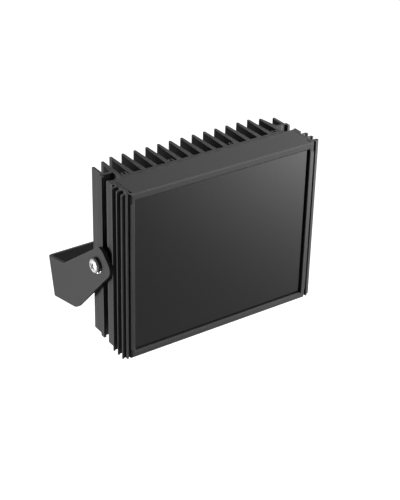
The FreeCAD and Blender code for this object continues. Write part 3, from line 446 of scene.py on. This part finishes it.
def moulded(name, colour, roughness, specular=0.5):
    """Moulded plastic or rubber with a spark-eroded grain and a painted highlight on its edges."""
    material, graph, shader = new_material(name, specular=specular)
    grain = use_group(graph, "coat_grain", size=0.0009, unevenness=0.2)
    edges = use_group(graph, "edge_line", width=0.0003, strength=0.25)
    base = shaded(graph, colour, grain.outputs["Shade"])
    # Painted highlight: the edges get a lighter colour in place of light caught on them
    lighter = tuple(min(1.0, part * 1.6 + 0.02) for part in colour)
    graph.feed(graph.mix_colour(edges.outputs["Mask"], base, (*lighter, 1.0)), shader.inputs["Base Color"])
    graph.feed(graph.span(grain.outputs["Shade"], 0.9, 1.1, roughness - 0.05, roughness + 0.05),
               shader.inputs["Roughness"])
    bump(graph, shader, grain.outputs["Height"], distance=0.00003, strength=0.5)
    return material


def bare_metal(name, colour, roughness, centre=None, metallic=1.0, edge=0.0002):
    """Turned or plated metal: cloudy plating, rings round a centre in the YZ plane where one is
    given, a painted highlight on the edges, and painted shade where the piece's surface is sunk."""
    material, graph, shader = new_material(name, metallic=metallic)
    place = graph.add("TexCoord").outputs["Object"]
    cloud = graph.noise(place, 900.0, detail=4.0, roughness=0.6)
    fine = graph.noise(place, 9000.0, detail=2.0, roughness=0.5)
    if centre is not None:
        apart = graph.add("SeparateXYZ")
        graph.feed(place, apart.inputs[0])
        across = graph.maths("SUBTRACT", apart.outputs["Y"], centre[0])
        up = graph.maths("SUBTRACT", apart.outputs["Z"], centre[1])
        squares = graph.maths("ADD", graph.maths("MULTIPLY", across, across), graph.maths("MULTIPLY", up, up))
        ring_pitch = 0.00022
        turns = graph.maths("MULTIPLY", graph.maths("SQRT", squares), 2.0 * math.pi / ring_pitch)
        wave = graph.maths("SINE", turns)
        fine = graph.mix_value(0.35, fine, graph.maths("MULTIPLY_ADD", wave, 0.5, 0.5))
    edges = use_group(graph, "edge_line", width=edge, strength=0.5)
    base = shaded(graph, colour, graph.span(cloud, 0.3, 0.7, 0.86, 1.08))
    # Painted highlight: edges are mixed to near white in place of glints
    lit = graph.mix_colour(edges.outputs["Mask"], base, METAL_EDGE_PAINTED_HIGHLIGHT)
    # Painted shade: the sunk recess is darkened by the depth attribute
    sunk = graph.add("Attribute", attribute_name="sunk")
    graph.feed(graph.mix_colour(sunk.outputs["Fac"], lit, RECESS_PAINTED_SHADE), shader.inputs["Base Color"])
    graph.feed(graph.span(cloud, 0.3, 0.7, roughness - 0.07, roughness + 0.09), shader.inputs["Roughness"])
    bump(graph, shader, fine, distance=0.00001, strength=0.35)
    return material


def dark_window(name, tint, polish):
    """Tinted pane: deep colour, faint wiping marks and a few specks of dust."""
    material, graph, shader = new_material(name, roughness=polish, specular=0.95)
    place = graph.add("TexCoord").outputs["Object"]
    smear = graph.noise(graph.stretched(place, (1.0, 1.0, 0.35)), 38.0, detail=5.0, roughness=0.55)
    specks = graph.span(graph.noise(place, 1500.0, detail=2.0, roughness=0.4), 0.74, 0.80)
    speck_share = graph.maths("MULTIPLY", specks, 0.25)
    speck_colour = (0.22, 0.21, 0.2, 1.0)
    graph.feed(graph.mix_colour(speck_share, (*tint, 1.0), speck_colour), shader.inputs["Base Color"])
    graph.feed(graph.span(smear, 0.35, 0.75, polish, polish + 0.05), shader.inputs["Roughness"])
    shader.inputs["IOR"].default_value = 1.56
    bump(graph, shader, smear, distance=0.00002, strength=0.1)
    return material


def clear_plastic(name, colour, roughness):
    """Clear moulded optics with faint flow lines."""
    material, graph, shader = new_material(name, roughness=roughness)
    shader.inputs["Transmission Weight"].default_value = 0.9
    shader.inputs["IOR"].default_value = 1.49
    place = graph.add("TexCoord").outputs["Object"]
    flow = graph.noise(place, 220.0, detail=3.0, roughness=0.5)
    graph.feed(shaded(graph, colour, graph.span(flow, 0.3, 0.7, 0.94, 1.0)), shader.inputs["Base Color"])
    graph.feed(graph.span(flow, 0.3, 0.7, roughness, roughness + 0.05), shader.inputs["Roughness"])
    return material


def circuit(name, mask_colour):
    """Circuit board: solder mask over faint tracks."""
    material, graph, shader = new_material(name, roughness=0.35)
    place = graph.add("TexCoord").outputs["Object"]
    tracks = graph.add("TexBrick")
    graph.feed(place, tracks.inputs["Vector"])
    tracks.inputs["Scale"].default_value = 160.0
    tracks.inputs["Mortar Size"].default_value = 0.04
    lighter = tuple(min(1.0, part * 1.25 + 0.01) for part in mask_colour)
    share = graph.maths("MULTIPLY", tracks.outputs["Fac"], 0.6)
    graph.feed(graph.mix_colour(share, (*mask_colour, 1.0), (*lighter, 1.0)), shader.inputs["Base Color"])
    graph.feed(graph.span(graph.noise(place, 700.0), 0.3, 0.7, 0.3, 0.42), shader.inputs["Roughness"])
    bump(graph, shader, tracks.outputs["Fac"], distance=0.00003, strength=0.4)
    return material


def give(node_names, material):
    """Puts the material on every slot of the named frame nodes."""
    for name in node_names:
        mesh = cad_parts[name].data
        mesh.materials.clear()
        mesh.materials.append(material)


# Surfaces

def shell(points, poles=None):
    """Corners and faces of a grid that closes on itself along its second index.
    With poles, a point closes each end of the first index. Without, the last row meets the first."""
    rows, columns = points.shape[:2]
    number = np.arange(rows * columns).reshape(rows, columns)
    beside = np.roll(number, -1, axis=1)
    if poles is None:
        low, low_beside = number, beside
        high, high_beside = np.roll(number, -1, axis=0), np.roll(beside, -1, axis=0)
    else:
        low, low_beside, high, high_beside = number[:-1], beside[:-1], number[1:], beside[1:]
    faces = np.stack((low, low_beside, high_beside, high), axis=-1).reshape(-1, 4).tolist()
    corners = points.reshape(-1, 3)
    if poles is not None:
        corners = np.concatenate((corners, np.array(poles)))
        first, last = rows * columns, rows * columns + 1
        faces += np.stack((np.full(columns, first), beside[0], number[0]), axis=-1).tolist()
        faces += np.stack((np.full(columns, last), number[-1], beside[-1]), axis=-1).tolist()
    return corners, faces


def new_piece(context, name, shells, material, body, replaced=()):
    """One mesh object from several shells, in the frame's place, riding on a body.
    A shell's third part, where it has one, says for each corner how deep it is sunk; bare metal paints shade
    by it."""
    corners, faces, start = [], [], 0
    for part in shells:
        corners.append(part[0])
        faces += [[start + number for number in face] for face in part[1]]
        start += len(part[0])
    mesh = bpy.data.meshes.new(name)
    mesh.from_pydata(np.concatenate(corners).tolist(), [], faces)
    if len(shells[0]) > 2:
        sunk = mesh.attributes.new("sunk", "FLOAT", "POINT")
        sunk.data.foreach_set("value", np.concatenate([part[2] for part in shells]))
    work = bmesh.new()
    work.from_mesh(mesh)
    bmesh.ops.recalc_face_normals(work, faces=work.faces)
    work.to_mesh(mesh)
    work.free()
    mesh.shade_smooth()
    mesh.set_sharp_from_angle(angle=SHARP_ANGLE)
    mesh.materials.append(material)
    thing = bpy.data.objects.new(name, mesh)
    context.collection.objects.link(thing)
    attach(thing, body)
    if replaced:
        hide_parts(*replaced)


def turned(angles, radius, along):
    """Points at the given angle and radius in the YZ plane and at the given place along X."""
    return np.stack(np.broadcast_arrays(along, radius * np.cos(angles), radius * np.sin(angles)), axis=-1)


def screw_shell(settings, side):
    """A pan-head screw round the pivot's axis.
    The profile runs from the crown's middle over the crown, down the head's wall, in along its
    underside and down the shank to its chamfered end. The crown's height over the wall is a
    superellipse of the radius. Inside the cross of two crossed strips the height is less by a depth
    that grows evenly from each strip's edges and ends to a flat bottom. A round hollow, as deep,
    widens the middle of the cross."""
    radius, tall = settings.head_radius, settings.head_height
    rings, columns = 54, 120
    share = np.sin(np.linspace(0.02, 1.0, rings) * math.pi / 2.0)
    wall_share, dome_share, radius_power, height_power = 0.42, 0.58, 2.7, 2.3
    crown = tall * (wall_share + dome_share * (1.0 - share ** radius_power) ** (1.0 / height_power))
    wall = np.array(((radius, 0.2 * tall), (radius, 0.04 * tall), (0.97 * radius, 0.0)))
    shank = settings.shank_radius
    long = settings.shank_length
    under = np.array(((shank, 0.0), (shank, -0.93 * long), (0.8 * shank, -long)))
    radii = np.concatenate((radius * share, wall[:, 0], under[:, 0]))[:, None]
    heights = np.concatenate((crown, wall[:, 1], under[:, 1]))[:, None]
    angles = np.linspace(0.0, 2.0 * math.pi, columns, endpoint=False)[None, :]
    across = np.abs(radii * np.cos(angles - settings.recess_turn))
    up = np.abs(radii * np.sin(angles - settings.recess_turn))
    half_long, half_wide = 0.54 * radius, 0.15 * radius
    side_slope, end_slope = 0.4 * half_wide, 0.3 * half_long
    hollow_radius, hollow_slope = 0.22 * radius, 0.07 * radius
    recess_depth = 0.6 * tall

    def strip(first, second):
        """How deep a point lies in one strip of the cross, from nought to one."""
        from_side = (half_wide - first) / side_slope
        from_end = (half_long - second) / end_slope
        return np.clip(np.minimum(from_side, from_end), 0.0, 1.0)

    cross = np.maximum(strip(across, up), strip(up, across))
    centre = np.clip((hollow_radius - np.hypot(across, up)) / hollow_slope, 0.0, 1.0)
    on_crown = (np.arange(len(radii)) < len(share))[:, None]
    sunk = np.where(on_crown, np.maximum(cross, centre), 0.0)
    heights = heights - recess_depth * sunk
    seat = HEAD_BOX[1][0] - tall
    points = turned(angles, radii, seat + heights) + np.array((0.0, PIVOT_Y, PIVOT_Z))
    middles = np.array(((seat + 0.4 * tall, PIVOT_Y, PIVOT_Z), (seat - long, PIVOT_Y, PIVOT_Z)))
    corners, faces = shell(points * (side, 1.0, 1.0), middles * (side, 1.0, 1.0))
    # The sunk share also marks where the material paints shade
    return corners, faces, np.concatenate((sunk.ravel(), (1.0, 0.0)))


def washer_shell(settings, side):
    """A lock washer with bent teeth, as tall as the room between the arm and the screw's head.
    Round the axis the outer radius swings between root and tip with short ramps. From the root
    outwards each tooth leaves the plane by a share that goes evenly from minus one at one flank to
    plus one at the other. Each section is a thin rectangle."""
    tip = (TOOTH_BOX[1][1] - TOOTH_BOX[0][1]) / 2.0
    root_share, inner_share, clearance, columns_per_tooth = 0.81, 0.94, 0.0001, 14
    root, hole = root_share * tip, settings.shank_radius + clearance
    low, high = TOOTH_BOX[1][0] - CAD_WASHER_THICKNESS, HEAD_BOX[1][0] - settings.head_height
    thick = settings.washer_thickness
    twist = 0.5 * (high - low - thick)
    angles = np.linspace(0.0, 2.0 * math.pi, settings.teeth * columns_per_tooth, endpoint=False)
    phase = np.mod(angles * settings.teeth / (2.0 * math.pi), 1.0)
    half_tooth, ramp, half_twist = 0.34, 0.06, 0.3
    tooth = np.clip((half_tooth - np.abs(phase - 0.5)) / ramp, 0.0, 1.0)
    lean = np.clip((phase - 0.5) / half_twist, -1.0, 1.0) * tooth * twist
    edge = root + (tip - root) * tooth
    none = np.zeros_like(edge)
    one = np.ones_like(edge)
    half = (hole * one, inner_share * root * one, root * one, edge)
    radii = np.stack(half + half[::-1])
    bend = np.stack((none, none, 0.4 * lean, lean, lean, 0.4 * lean, none, none))
    face = np.array((-0.5, -0.5, -0.5, -0.5, 0.5, 0.5, 0.5, 0.5))[:, None] * thick
    points = turned(angles[None, :], radii, 0.5 * (low + high) + bend + face)
    return shell((points + np.array((0.0, PIVOT_Y, PIVOT_Z))) * (side, 1.0, 1.0))


def nut_shell(flats, bore, mouth):
    """The gland's clamping nut round an axis along Y.
    Its section goes back along the outside and over the dome to the mouth, forwards inside and out
    to the collar's bore, and out again along the front face. Its outside radius at each angle is
    the least of a hexagon's (half the flats over the cosine of the angle to the nearest flat's
    middle), that of a front chamfer and that of a dome that falls off nearly as a quarter of an
    ellipse."""
    front, back = NUT_BOX[0][1], NUT_BOX[1][1]
    long = back - front
    columns = 144
    # Places along the nut as shares of its length from the front
    chamfer_end, step, dome_start, hexagon_end = 0.07, 0.54, 0.56, 0.6
    # Shares of the corner radius and the dome's power, then widths in metres
    front_share, chamfer_share, dome_power = 0.93, 0.07, 2.4
    shoulder, rim = 0.0006, 0.0012
    angles = np.linspace(0.0, 2.0 * math.pi, columns, endpoint=False)[None, :]
    to_flat = np.mod(angles, math.pi / 3.0) - math.pi / 6.0
    hexagon = 0.5 * flats / np.cos(to_flat)
    over_chamfer, over_hexagon = np.array((0.0, 0.03, 0.06)), np.linspace(0.1, hexagon_end, 8)
    over_dome = hexagon_end + 0.4 * np.sin(np.linspace(0.06, 1.0, 16) * math.pi / 2.0)
    along = np.concatenate((over_chamfer, over_hexagon, over_dome))[:, None]
    corner = 0.5 * flats / math.cos(math.pi / 6.0)
    rise = np.clip(along / chamfer_end, 0.0, 1.0)
    dome_share = np.clip((along - dome_start) / 0.44, 0.0, 1.0)
    dome_top = 0.5 * flats - shoulder
    fall = mouth + rim + (corner - mouth - rim) * np.sqrt(1.0 - dome_share ** dome_power)
    limit = np.minimum(front_share * corner + chamfer_share * corner * rise, fall)
    outer = np.minimum(hexagon, np.where(along > hexagon_end, np.minimum(limit, dome_top), limit))
    inner_along = np.array((1.0, step, step, 0.0))[:, None]
    inner = np.array((mouth, mouth, bore, bore))[:, None] * np.ones_like(angles)
    radii = np.concatenate((outer, inner))
    places = front + long * np.concatenate((along, inner_along))
    centre_x, centre_z = middle(NUT_BOX, 0), middle(NUT_BOX, 2)
    flat_points = turned(angles, radii, places)
    points = flat_points[..., (1, 0, 2)] + np.array((centre_x, 0.0, centre_z))
    return shell(points)


def bead_shell(half_wide, low, high, front, deep, wide):
    """Rubber bead round the window's opening: a section of six points, square on the outside
    and rounded towards the pane's middle, carried round a rectangle with mitred corners."""
    corners = np.array(((-half_wide, low), (half_wide, low), (half_wide, high), (-half_wide, high)))
    inwards = np.array(((1.0, 1.0), (-1.0, 1.0), (-1.0, -1.0), (1.0, -1.0)))
    round_points = 5
    turn = np.linspace(0.0, math.pi / 2.0, round_points)
    reach = np.concatenate((np.array((0.0,)), wide * np.cos(turn[::-1])))
    depth = np.concatenate((np.array((deep,)), deep * (1.0 - np.sin(turn[::-1]))))
    flat = corners[None, :, :] + inwards[None, :, :] * reach[:, None, None]
    places = np.broadcast_to((front + depth)[:, None], flat.shape[:2])
    return shell(np.stack((flat[..., 0], places, flat[..., 1]), axis=-1))


# Operators

class ILLUMINATOR_OT_bracket(bpy.types.Operator):
    """Finish of the folded bracket, its spacers and nuts"""

    bl_idname = "illuminator.bracket"
    bl_label = "Bracket finish"

    def execute(self, context):
        coat = context.scene.illuminator_coat
        give(["mounting_bracket"],
             coated_metal("bracket_powder_coat", coat.bracket_colour, roughness=0.52,
                          grain_size=coat.grain_size, edge_width=coat.edge_width, grain_depth=0.00006))
        give(["slot_nuts"], bare_metal("nut_zinc", (0.62, 0.62, 0.63), roughness=0.38))
        give(["pivot_spacers"], moulded("spacer_nylon", (0.018, 0.018, 0.018), roughness=0.5))
        return {"FINISHED"}


class ILLUMINATOR_OT_pivots(bpy.types.Operator):
    """Pan-head screws with a cross recess and lock washers with bent teeth"""

    bl_idname = "illuminator.pivots"
    bl_label = "Pivot screws"

    def execute(self, context):
        settings = context.scene.illuminator_pivot
        zinc = bare_metal("screw_zinc", (0.90, 0.90, 0.91), roughness=0.40,
                          centre=(PIVOT_Y, PIVOT_Z), metallic=0.55)
        blued = bare_metal("washer_steel", (0.05, 0.05, 0.053), roughness=0.26, edge=0.0005)
        new_piece(context, "pan_head_screws", [screw_shell(settings, side) for side in (-1.0, 1.0)],
                  zinc, "pivots", ["pivot_screws"])
        new_piece(context, "lock_washers", [washer_shell(settings, side) for side in (-1.0, 1.0)],
                  blued, "pivots", ["toothed_washers"])
        return {"FINISHED"}


class ILLUMINATOR_OT_housing(bpy.types.Operator):
    """Finish of the extrusion, its caps and seals"""

    bl_idname = "illuminator.housing"
    bl_label = "Housing finish"

    def execute(self, context):
        coat = context.scene.illuminator_coat
        give(["housing_profile"],
             drawn_metal("extrusion_black", coat.housing_colour, roughness=0.42,
                         grain_size=coat.grain_size, edge_width=coat.edge_width))
        give(["top_end_cap", "bottom_end_cap"],
             coated_metal("cap_black", coat.cap_colour, roughness=0.58, grain_size=coat.grain_size,
                          edge_width=coat.edge_width, grain_depth=0.00004, specular=0.35))
        give(["top_cap_seal", "bottom_cap_seal", "window_seal"],
             moulded("seal_rubber", (0.012, 0.012, 0.012), roughness=0.7))
        return {"FINISHED"}


class ILLUMINATOR_OT_window(bpy.types.Operator):
    """Finish of the dark infrared window and the bead of rubber in front of its edge"""

    bl_idname = "illuminator.window"
    bl_label = "Window finish"

    def execute(self, context):
        window = context.scene.illuminator_window
        give(["front_window"], dark_window("window_infrared", window.tint, window.polish))
        low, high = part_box("bottom_end_cap")[0][2] + window.lip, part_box("top_end_cap")[1][2] - window.lip
        bead = bead_shell(window.half_width, low, high, WINDOW_BOX[0][1] - window.bead_deep,
                          window.bead_deep, window.bead_wide)
        rubber = moulded("bead_rubber", (0.006, 0.006, 0.006), roughness=0.75, specular=0.2)
        new_piece(context, "glazing_bead", [bead], rubber, "housing")
        return {"FINISHED"}


class ILLUMINATOR_OT_inside(bpy.types.Operator):
    """Finish of the boards, lenses and small parts in the chamber"""

    bl_idname = "illuminator.inside"
    bl_label = "Inner parts finish"

    def execute(self, context):
        give(["heat_pad"], moulded("pad_silicone", (0.42, 0.44, 0.48), roughness=0.75))
        give(["lamp_board"], circuit("board_white", (0.72, 0.72, 0.69)))
        give(["driver_board"], circuit("board_green", (0.03, 0.16, 0.06)))
        give(["emitters"], moulded("emitter_case", (0.2, 0.17, 0.14), roughness=0.25))
        give(["lens_strip_%d" % number for number in (1, 2, 3, 4)],
             clear_plastic("lens_acrylic", (0.95, 0.97, 0.98), roughness=0.04))
        give(["lamp_screws", "driver_screws"],
             bare_metal("small_screw_zinc", (0.7, 0.7, 0.72), roughness=0.3))
        give(["driver_standoffs"], bare_metal("standoff_brass", (0.72, 0.52, 0.25), roughness=0.3))
        give(["driver_choke"], moulded("ferrite", (0.03, 0.03, 0.032), roughness=0.6))
        give(["driver_capacitors"], bare_metal("drawn_can", (0.7, 0.7, 0.72), roughness=0.32))
        give(["terminal_block"], moulded("terminal_green", (0.03, 0.22, 0.09), roughness=0.4))
        give(["driver_chips"], moulded("chip_resin", (0.02, 0.02, 0.021), roughness=0.5))
        give(["link_wires"], moulded("wire_cover", (0.45, 0.02, 0.02), roughness=0.4))
        return {"FINISHED"}


class ILLUMINATOR_OT_gland(bpy.types.Operator):
    """Finish of the cable gland at the back"""

    bl_idname = "illuminator.gland"
    bl_label = "Gland finish"

    def execute(self, context):
        gland = context.scene.illuminator_gland
        nylon = moulded("gland_nylon", (0.02, 0.02, 0.02), roughness=0.42)
        give(["gland_body"], nylon)
        new_piece(context, "gland_clamping_nut", [nut_shell(gland.flats, gland.bore, gland.mouth)], nylon,
                  "housing", ["gland_nut"])
        give(["gland_washer", "gland_insert"], moulded("gland_rubber", (0.012, 0.012, 0.012), roughness=0.7))
        return {"FINISHED"}


class ILLUMINATOR_OT_stage(bpy.types.Operator):
    """Floor, soft lamps and camera"""

    bl_idname = "illuminator.stage"
    bl_label = "Stage"

    def execute(self, context):
        studio = context.scene.illuminator_studio
        self.add_floor(context, studio.floor_height)
        self.add_world(context, studio.surround)
        powers = (studio.side_power, studio.top_power, studio.front_power)
        for (name, place, size), power in zip(LAMPS, powers):
            self.add_lamp(context, name, place, size, power)
        self.add_camera(context, studio)
        context.scene.view_settings.view_transform = "Standard"
        return {"FINISHED"}

    def add_floor(self, context, height):
        """Pale floor: a flat square, white to the camera and a bright pool in mirrors."""
        signs = np.array([(-1.0, -1.0), (1.0, -1.0), (1.0, 1.0), (-1.0, 1.0)])
        corners = np.column_stack((signs * FLOOR_HALF, np.full(4, height)))
        mesh = bpy.data.meshes.new("floor")
        mesh.from_pydata(corners.tolist(), [], [(0, 1, 2, 3)])
        floor = bpy.data.objects.new("floor", mesh)
        context.collection.objects.link(floor)
        material, graph, shader = new_material("floor_pale", roughness=0.9, specular=0.1)
        place = graph.add("TexCoord").outputs["Object"]
        tone = graph.span(graph.noise(place, 3.0), 0.3, 0.7, *FLOOR_TONES)
        combine = graph.add("CombineColor")
        path = graph.add("LightPath")
        card = graph.mix_value(path.outputs["Is Glossy Ray"], tone, FLOOR_MIRRORED)
        for index in range(3):
            graph.feed(card, combine.inputs[index])
        graph.feed(combine.outputs[0], shader.inputs["Base Color"])
        shader.inputs["Emission Color"].default_value = (1.0, 1.0, 1.0, 1.0)
        seen = graph.maths("MAXIMUM", path.outputs["Is Camera Ray"], path.outputs["Is Transmission Ray"])
        plain = graph.maths("MULTIPLY", seen, FLOOR_SEEN)
        mirrored = graph.maths("MULTIPLY", path.outputs["Is Glossy Ray"], self.light_pool(graph, place))
        graph.feed(graph.maths("ADD", plain, mirrored), shader.inputs["Emission Strength"])
        mesh.materials.append(material)

    def light_pool(self, graph, place):
        """How bright the floor is in mirrors: dim behind, and in front a pool on the right that
        grows with the square of the way past its edge."""
        apart = graph.add("SeparateXYZ")
        graph.feed(place, apart.inputs[0])
        way = graph.maths("MULTIPLY_ADD", apart.outputs["Y"], POOL_SLANT, apart.outputs["X"])
        past = graph.maths("MAXIMUM", graph.maths("SUBTRACT", way, POOL_EDGE), 0.0)
        behind = graph.span(apart.outputs["Y"], *POOL_END)
        grown = graph.maths("MULTIPLY", graph.maths("MULTIPLY", past, past), POOL_GROWTH, clamp=True)
        return graph.mix_value(behind, grown, POOL_BEHIND)

    def add_world(self, context, surround):
        """Faint even light from all sides, white to the camera and dim in mirrors."""
        world = bpy.data.worlds.new("studio")
        world.use_nodes = True
        context.scene.world = world
        graph = Graph(world.node_tree)
        background = world.node_tree.nodes["Background"]
        background.inputs["Color"].default_value = (1.0, 1.0, 1.0, 1.0)
        path = graph.add("LightPath")
        seen = graph.maths("MAXIMUM", path.outputs["Is Camera Ray"], path.outputs["Is Transmission Ray"])
        plain = graph.mix_value(path.outputs["Is Glossy Ray"], surround, SKY_MIRRORED)
        graph.feed(graph.mix_value(seen, plain, 1.0), background.inputs["Strength"])

    def add_lamp(self, context, name, place, size, power):
        """A square soft lamp that looks at the shared aim."""
        lamp = bpy.data.lights.new(name, "AREA")
        lamp.shape = "SQUARE"
        lamp.size = size
        lamp.energy = power
        thing = bpy.data.objects.new(name, lamp)
        aim = Vector(LAMP_AIM) - Vector(place)
        turn = aim.to_track_quat("-Z", "Y").to_matrix().to_4x4()
        thing.matrix_world = Matrix.Translation(place) @ turn
        context.collection.objects.link(thing)

    def add_camera(self, context, studio):
        """Camera axes: looking direction from azimuth and elevation, then a roll about it."""
        azimuth = -studio.camera_azimuth
        height = studio.camera_elevation
        level = math.cos(height)
        ahead = Vector((math.sin(azimuth) * level, math.cos(azimuth) * level, -math.sin(height)))
        right = Vector((math.cos(azimuth), -math.sin(azimuth), 0.0))
        above = right.cross(ahead)
        roll = studio.camera_roll
        right, above = (right * math.cos(roll) + above * math.sin(roll),
                        above * math.cos(roll) - right * math.sin(roll))
        camera = bpy.data.cameras.new("camera")
        camera.sensor_fit = "HORIZONTAL"
        camera.sensor_width = 36.0
        camera.lens = studio.camera_lens
        camera.clip_end = 50.0
        thing = bpy.data.objects.new("camera", camera)
        turn = Matrix((right, above, -ahead)).transposed().to_4x4()
        thing.matrix_world = Matrix.Translation(studio.camera_place) @ turn
        context.collection.objects.link(thing)
        context.scene.camera = thing


OPERATORS = (
    ILLUMINATOR_OT_bracket,
    ILLUMINATOR_OT_pivots,
    ILLUMINATOR_OT_housing,
    ILLUMINATOR_OT_window,
    ILLUMINATOR_OT_inside,
    ILLUMINATOR_OT_gland,
    ILLUMINATOR_OT_stage,
)


class ILLUMINATOR_PT_panel(bpy.types.Panel):
    """Steps and settings of the illuminator"""

    bl_label = "Infrared illuminator"
    bl_idname = "ILLUMINATOR_PT_panel"
    bl_space_type = "VIEW_3D"
    bl_region_type = "UI"
    bl_category = "Illuminator"

    def draw(self, context):
        column = self.layout.column(align=True)
        for operator in OPERATORS:
            column.operator(operator.bl_idname)
        for group, _ in SETTINGS:
            settings = getattr(context.scene, group)
            box = self.layout.box()
            for name in settings.bl_rna.properties.keys():
                if name not in ("rna_type", "name"):
                    box.prop(settings, name)


SETTINGS = (
    ("illuminator_pivot", PivotSettings),
    ("illuminator_gland", GlandSettings),
    ("illuminator_coat", CoatSettings),
    ("illuminator_window", WindowSettings),
    ("illuminator_studio", StudioSettings),
)


def register():
    for name, kind in SETTINGS:
        bpy.utils.register_class(kind)
        setattr(bpy.types.Scene, name, bpy.props.PointerProperty(type=kind))
    for kind in OPERATORS + (ILLUMINATOR_PT_panel,):
        bpy.utils.register_class(kind)


def unregister():
    for kind in reversed(OPERATORS + (ILLUMINATOR_PT_panel,)):
        bpy.utils.unregister_class(kind)
    for name, kind in reversed(SETTINGS):
        delattr(bpy.types.Scene, name)
        bpy.utils.unregister_class(kind)


def main():
    register()
    for operator in OPERATORS:
        group, name = operator.bl_idname.split(".")
        getattr(getattr(bpy.ops, group), name)()


if __name__ == "__main__":
    main()
